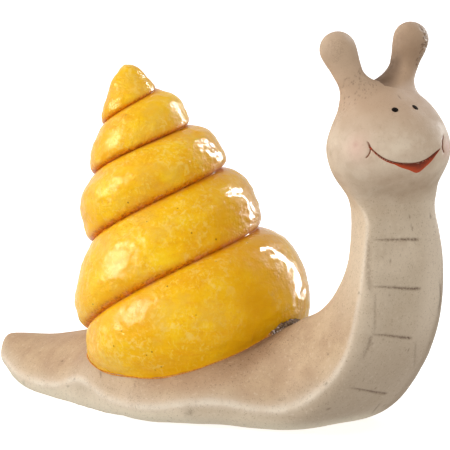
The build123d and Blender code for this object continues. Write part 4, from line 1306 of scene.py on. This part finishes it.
key = softbox("key", CAMERA_AZ - 58, 40, 2.0, 2.3, 1.9, 16.0, (1.0, 0.985, 0.96))
key.visible_glossy = False
window = softbox("window", CAMERA_AZ - 84, 21, 2.0, 1.6, 1.35, 16.0, (1.0, 0.99, 0.94))
window.data.spread = math.radians(52)
window.visible_diffuse = False
fill = softbox("fill", CAMERA_AZ - 112, 18, 1.8, 1.2, 1.6, 0.5, (1.0, 0.985, 0.96))
fill.visible_glossy = False
strip = softbox("strip", CAMERA_AZ + 131, 23, 1.3, 0.12, 1.3, 46.0)
strip.visible_diffuse = False
front = softbox("front", CAMERA_AZ + 60, 12, 2.2, 1.6, 1.6, 2.2)
front.visible_glossy = False

low_light = softbox("low_light", CAMERA_AZ - 30, 3, 2.0, 2.0, 0.4, 5.0)
low_light.visible_glossy = False

world = bpy.data.worlds.new("studio")
bpy.context.scene.world = world
world.use_nodes = True
_w = world.node_tree
_dir = _w.nodes.new("ShaderNodeTexCoord")
_xyz = _w.nodes.new("ShaderNodeSeparateXYZ")
_w.links.new(_dir.outputs["Generated"], _xyz.inputs[0])
_range = _w.nodes.new("ShaderNodeMapRange")
_range.inputs["From Min"].default_value, _range.inputs["From Max"].default_value = -0.6, 0.7
_range.inputs["To Min"].default_value, _range.inputs["To Max"].default_value = 0.72, 0.66
_w.links.new(_xyz.outputs[2], _range.inputs["Value"])
# a bright white backdrop behind the part
_dot = _w.nodes.new("ShaderNodeVectorMath")
_dot.operation = "DOT_PRODUCT"
_w.links.new(_dir.outputs["Generated"], _dot.inputs[0])
_dot.inputs[1].default_value = tuple(direction(CAMERA_AZ - 145, 0))
_wall = _w.nodes.new("ShaderNodeMapRange")
_wall.interpolation_type = "SMOOTHSTEP"
_wall.inputs["From Min"].default_value, _wall.inputs["From Max"].default_value = 0.25, 0.90
_wall.inputs["To Min"].default_value, _wall.inputs["To Max"].default_value = 0.0, 0.50
_w.links.new(_dot.outputs["Value"], _wall.inputs["Value"])
_sum = _w.nodes.new("ShaderNodeMath")
_sum.operation = "ADD"
_w.links.new(_range.outputs["Result"], _sum.inputs[0])
_w.links.new(_wall.outputs["Result"], _sum.inputs[1])
_w.links.new(_sum.outputs[0], _w.nodes["Background"].inputs[1])
_w.nodes["Background"].inputs[0].default_value = (1.0, 1.0, 1.0, 1)

back = direction(CAMERA_AZ, CAMERA_EL)
a = math.radians(CAMERA_AZ)
right = Vector((math.cos(a), math.sin(a), 0))
up = back.cross(right)
centre = right * 0.0162 + up * 0.1068
camera_data = bpy.data.cameras.new("camera")
camera_data.sensor_width = 36.0
camera_data.lens = 400.0
camera_data.clip_start, camera_data.clip_end = 0.1, 60.0
camera = bpy.data.objects.new("camera", camera_data)
bpy.context.scene.collection.objects.link(camera)
camera.location = centre + back * CAMERA_FAR
camera.rotation_mode = "QUATERNION"
camera.rotation_quaternion = (-back).to_track_quat("-Z", "Y")
bpy.context.scene.camera = camera
bpy.context.scene.view_settings.view_transform = "Standard"
bpy.context.scene.view_settings.look = "None"

bpy.context.view_layer.update()
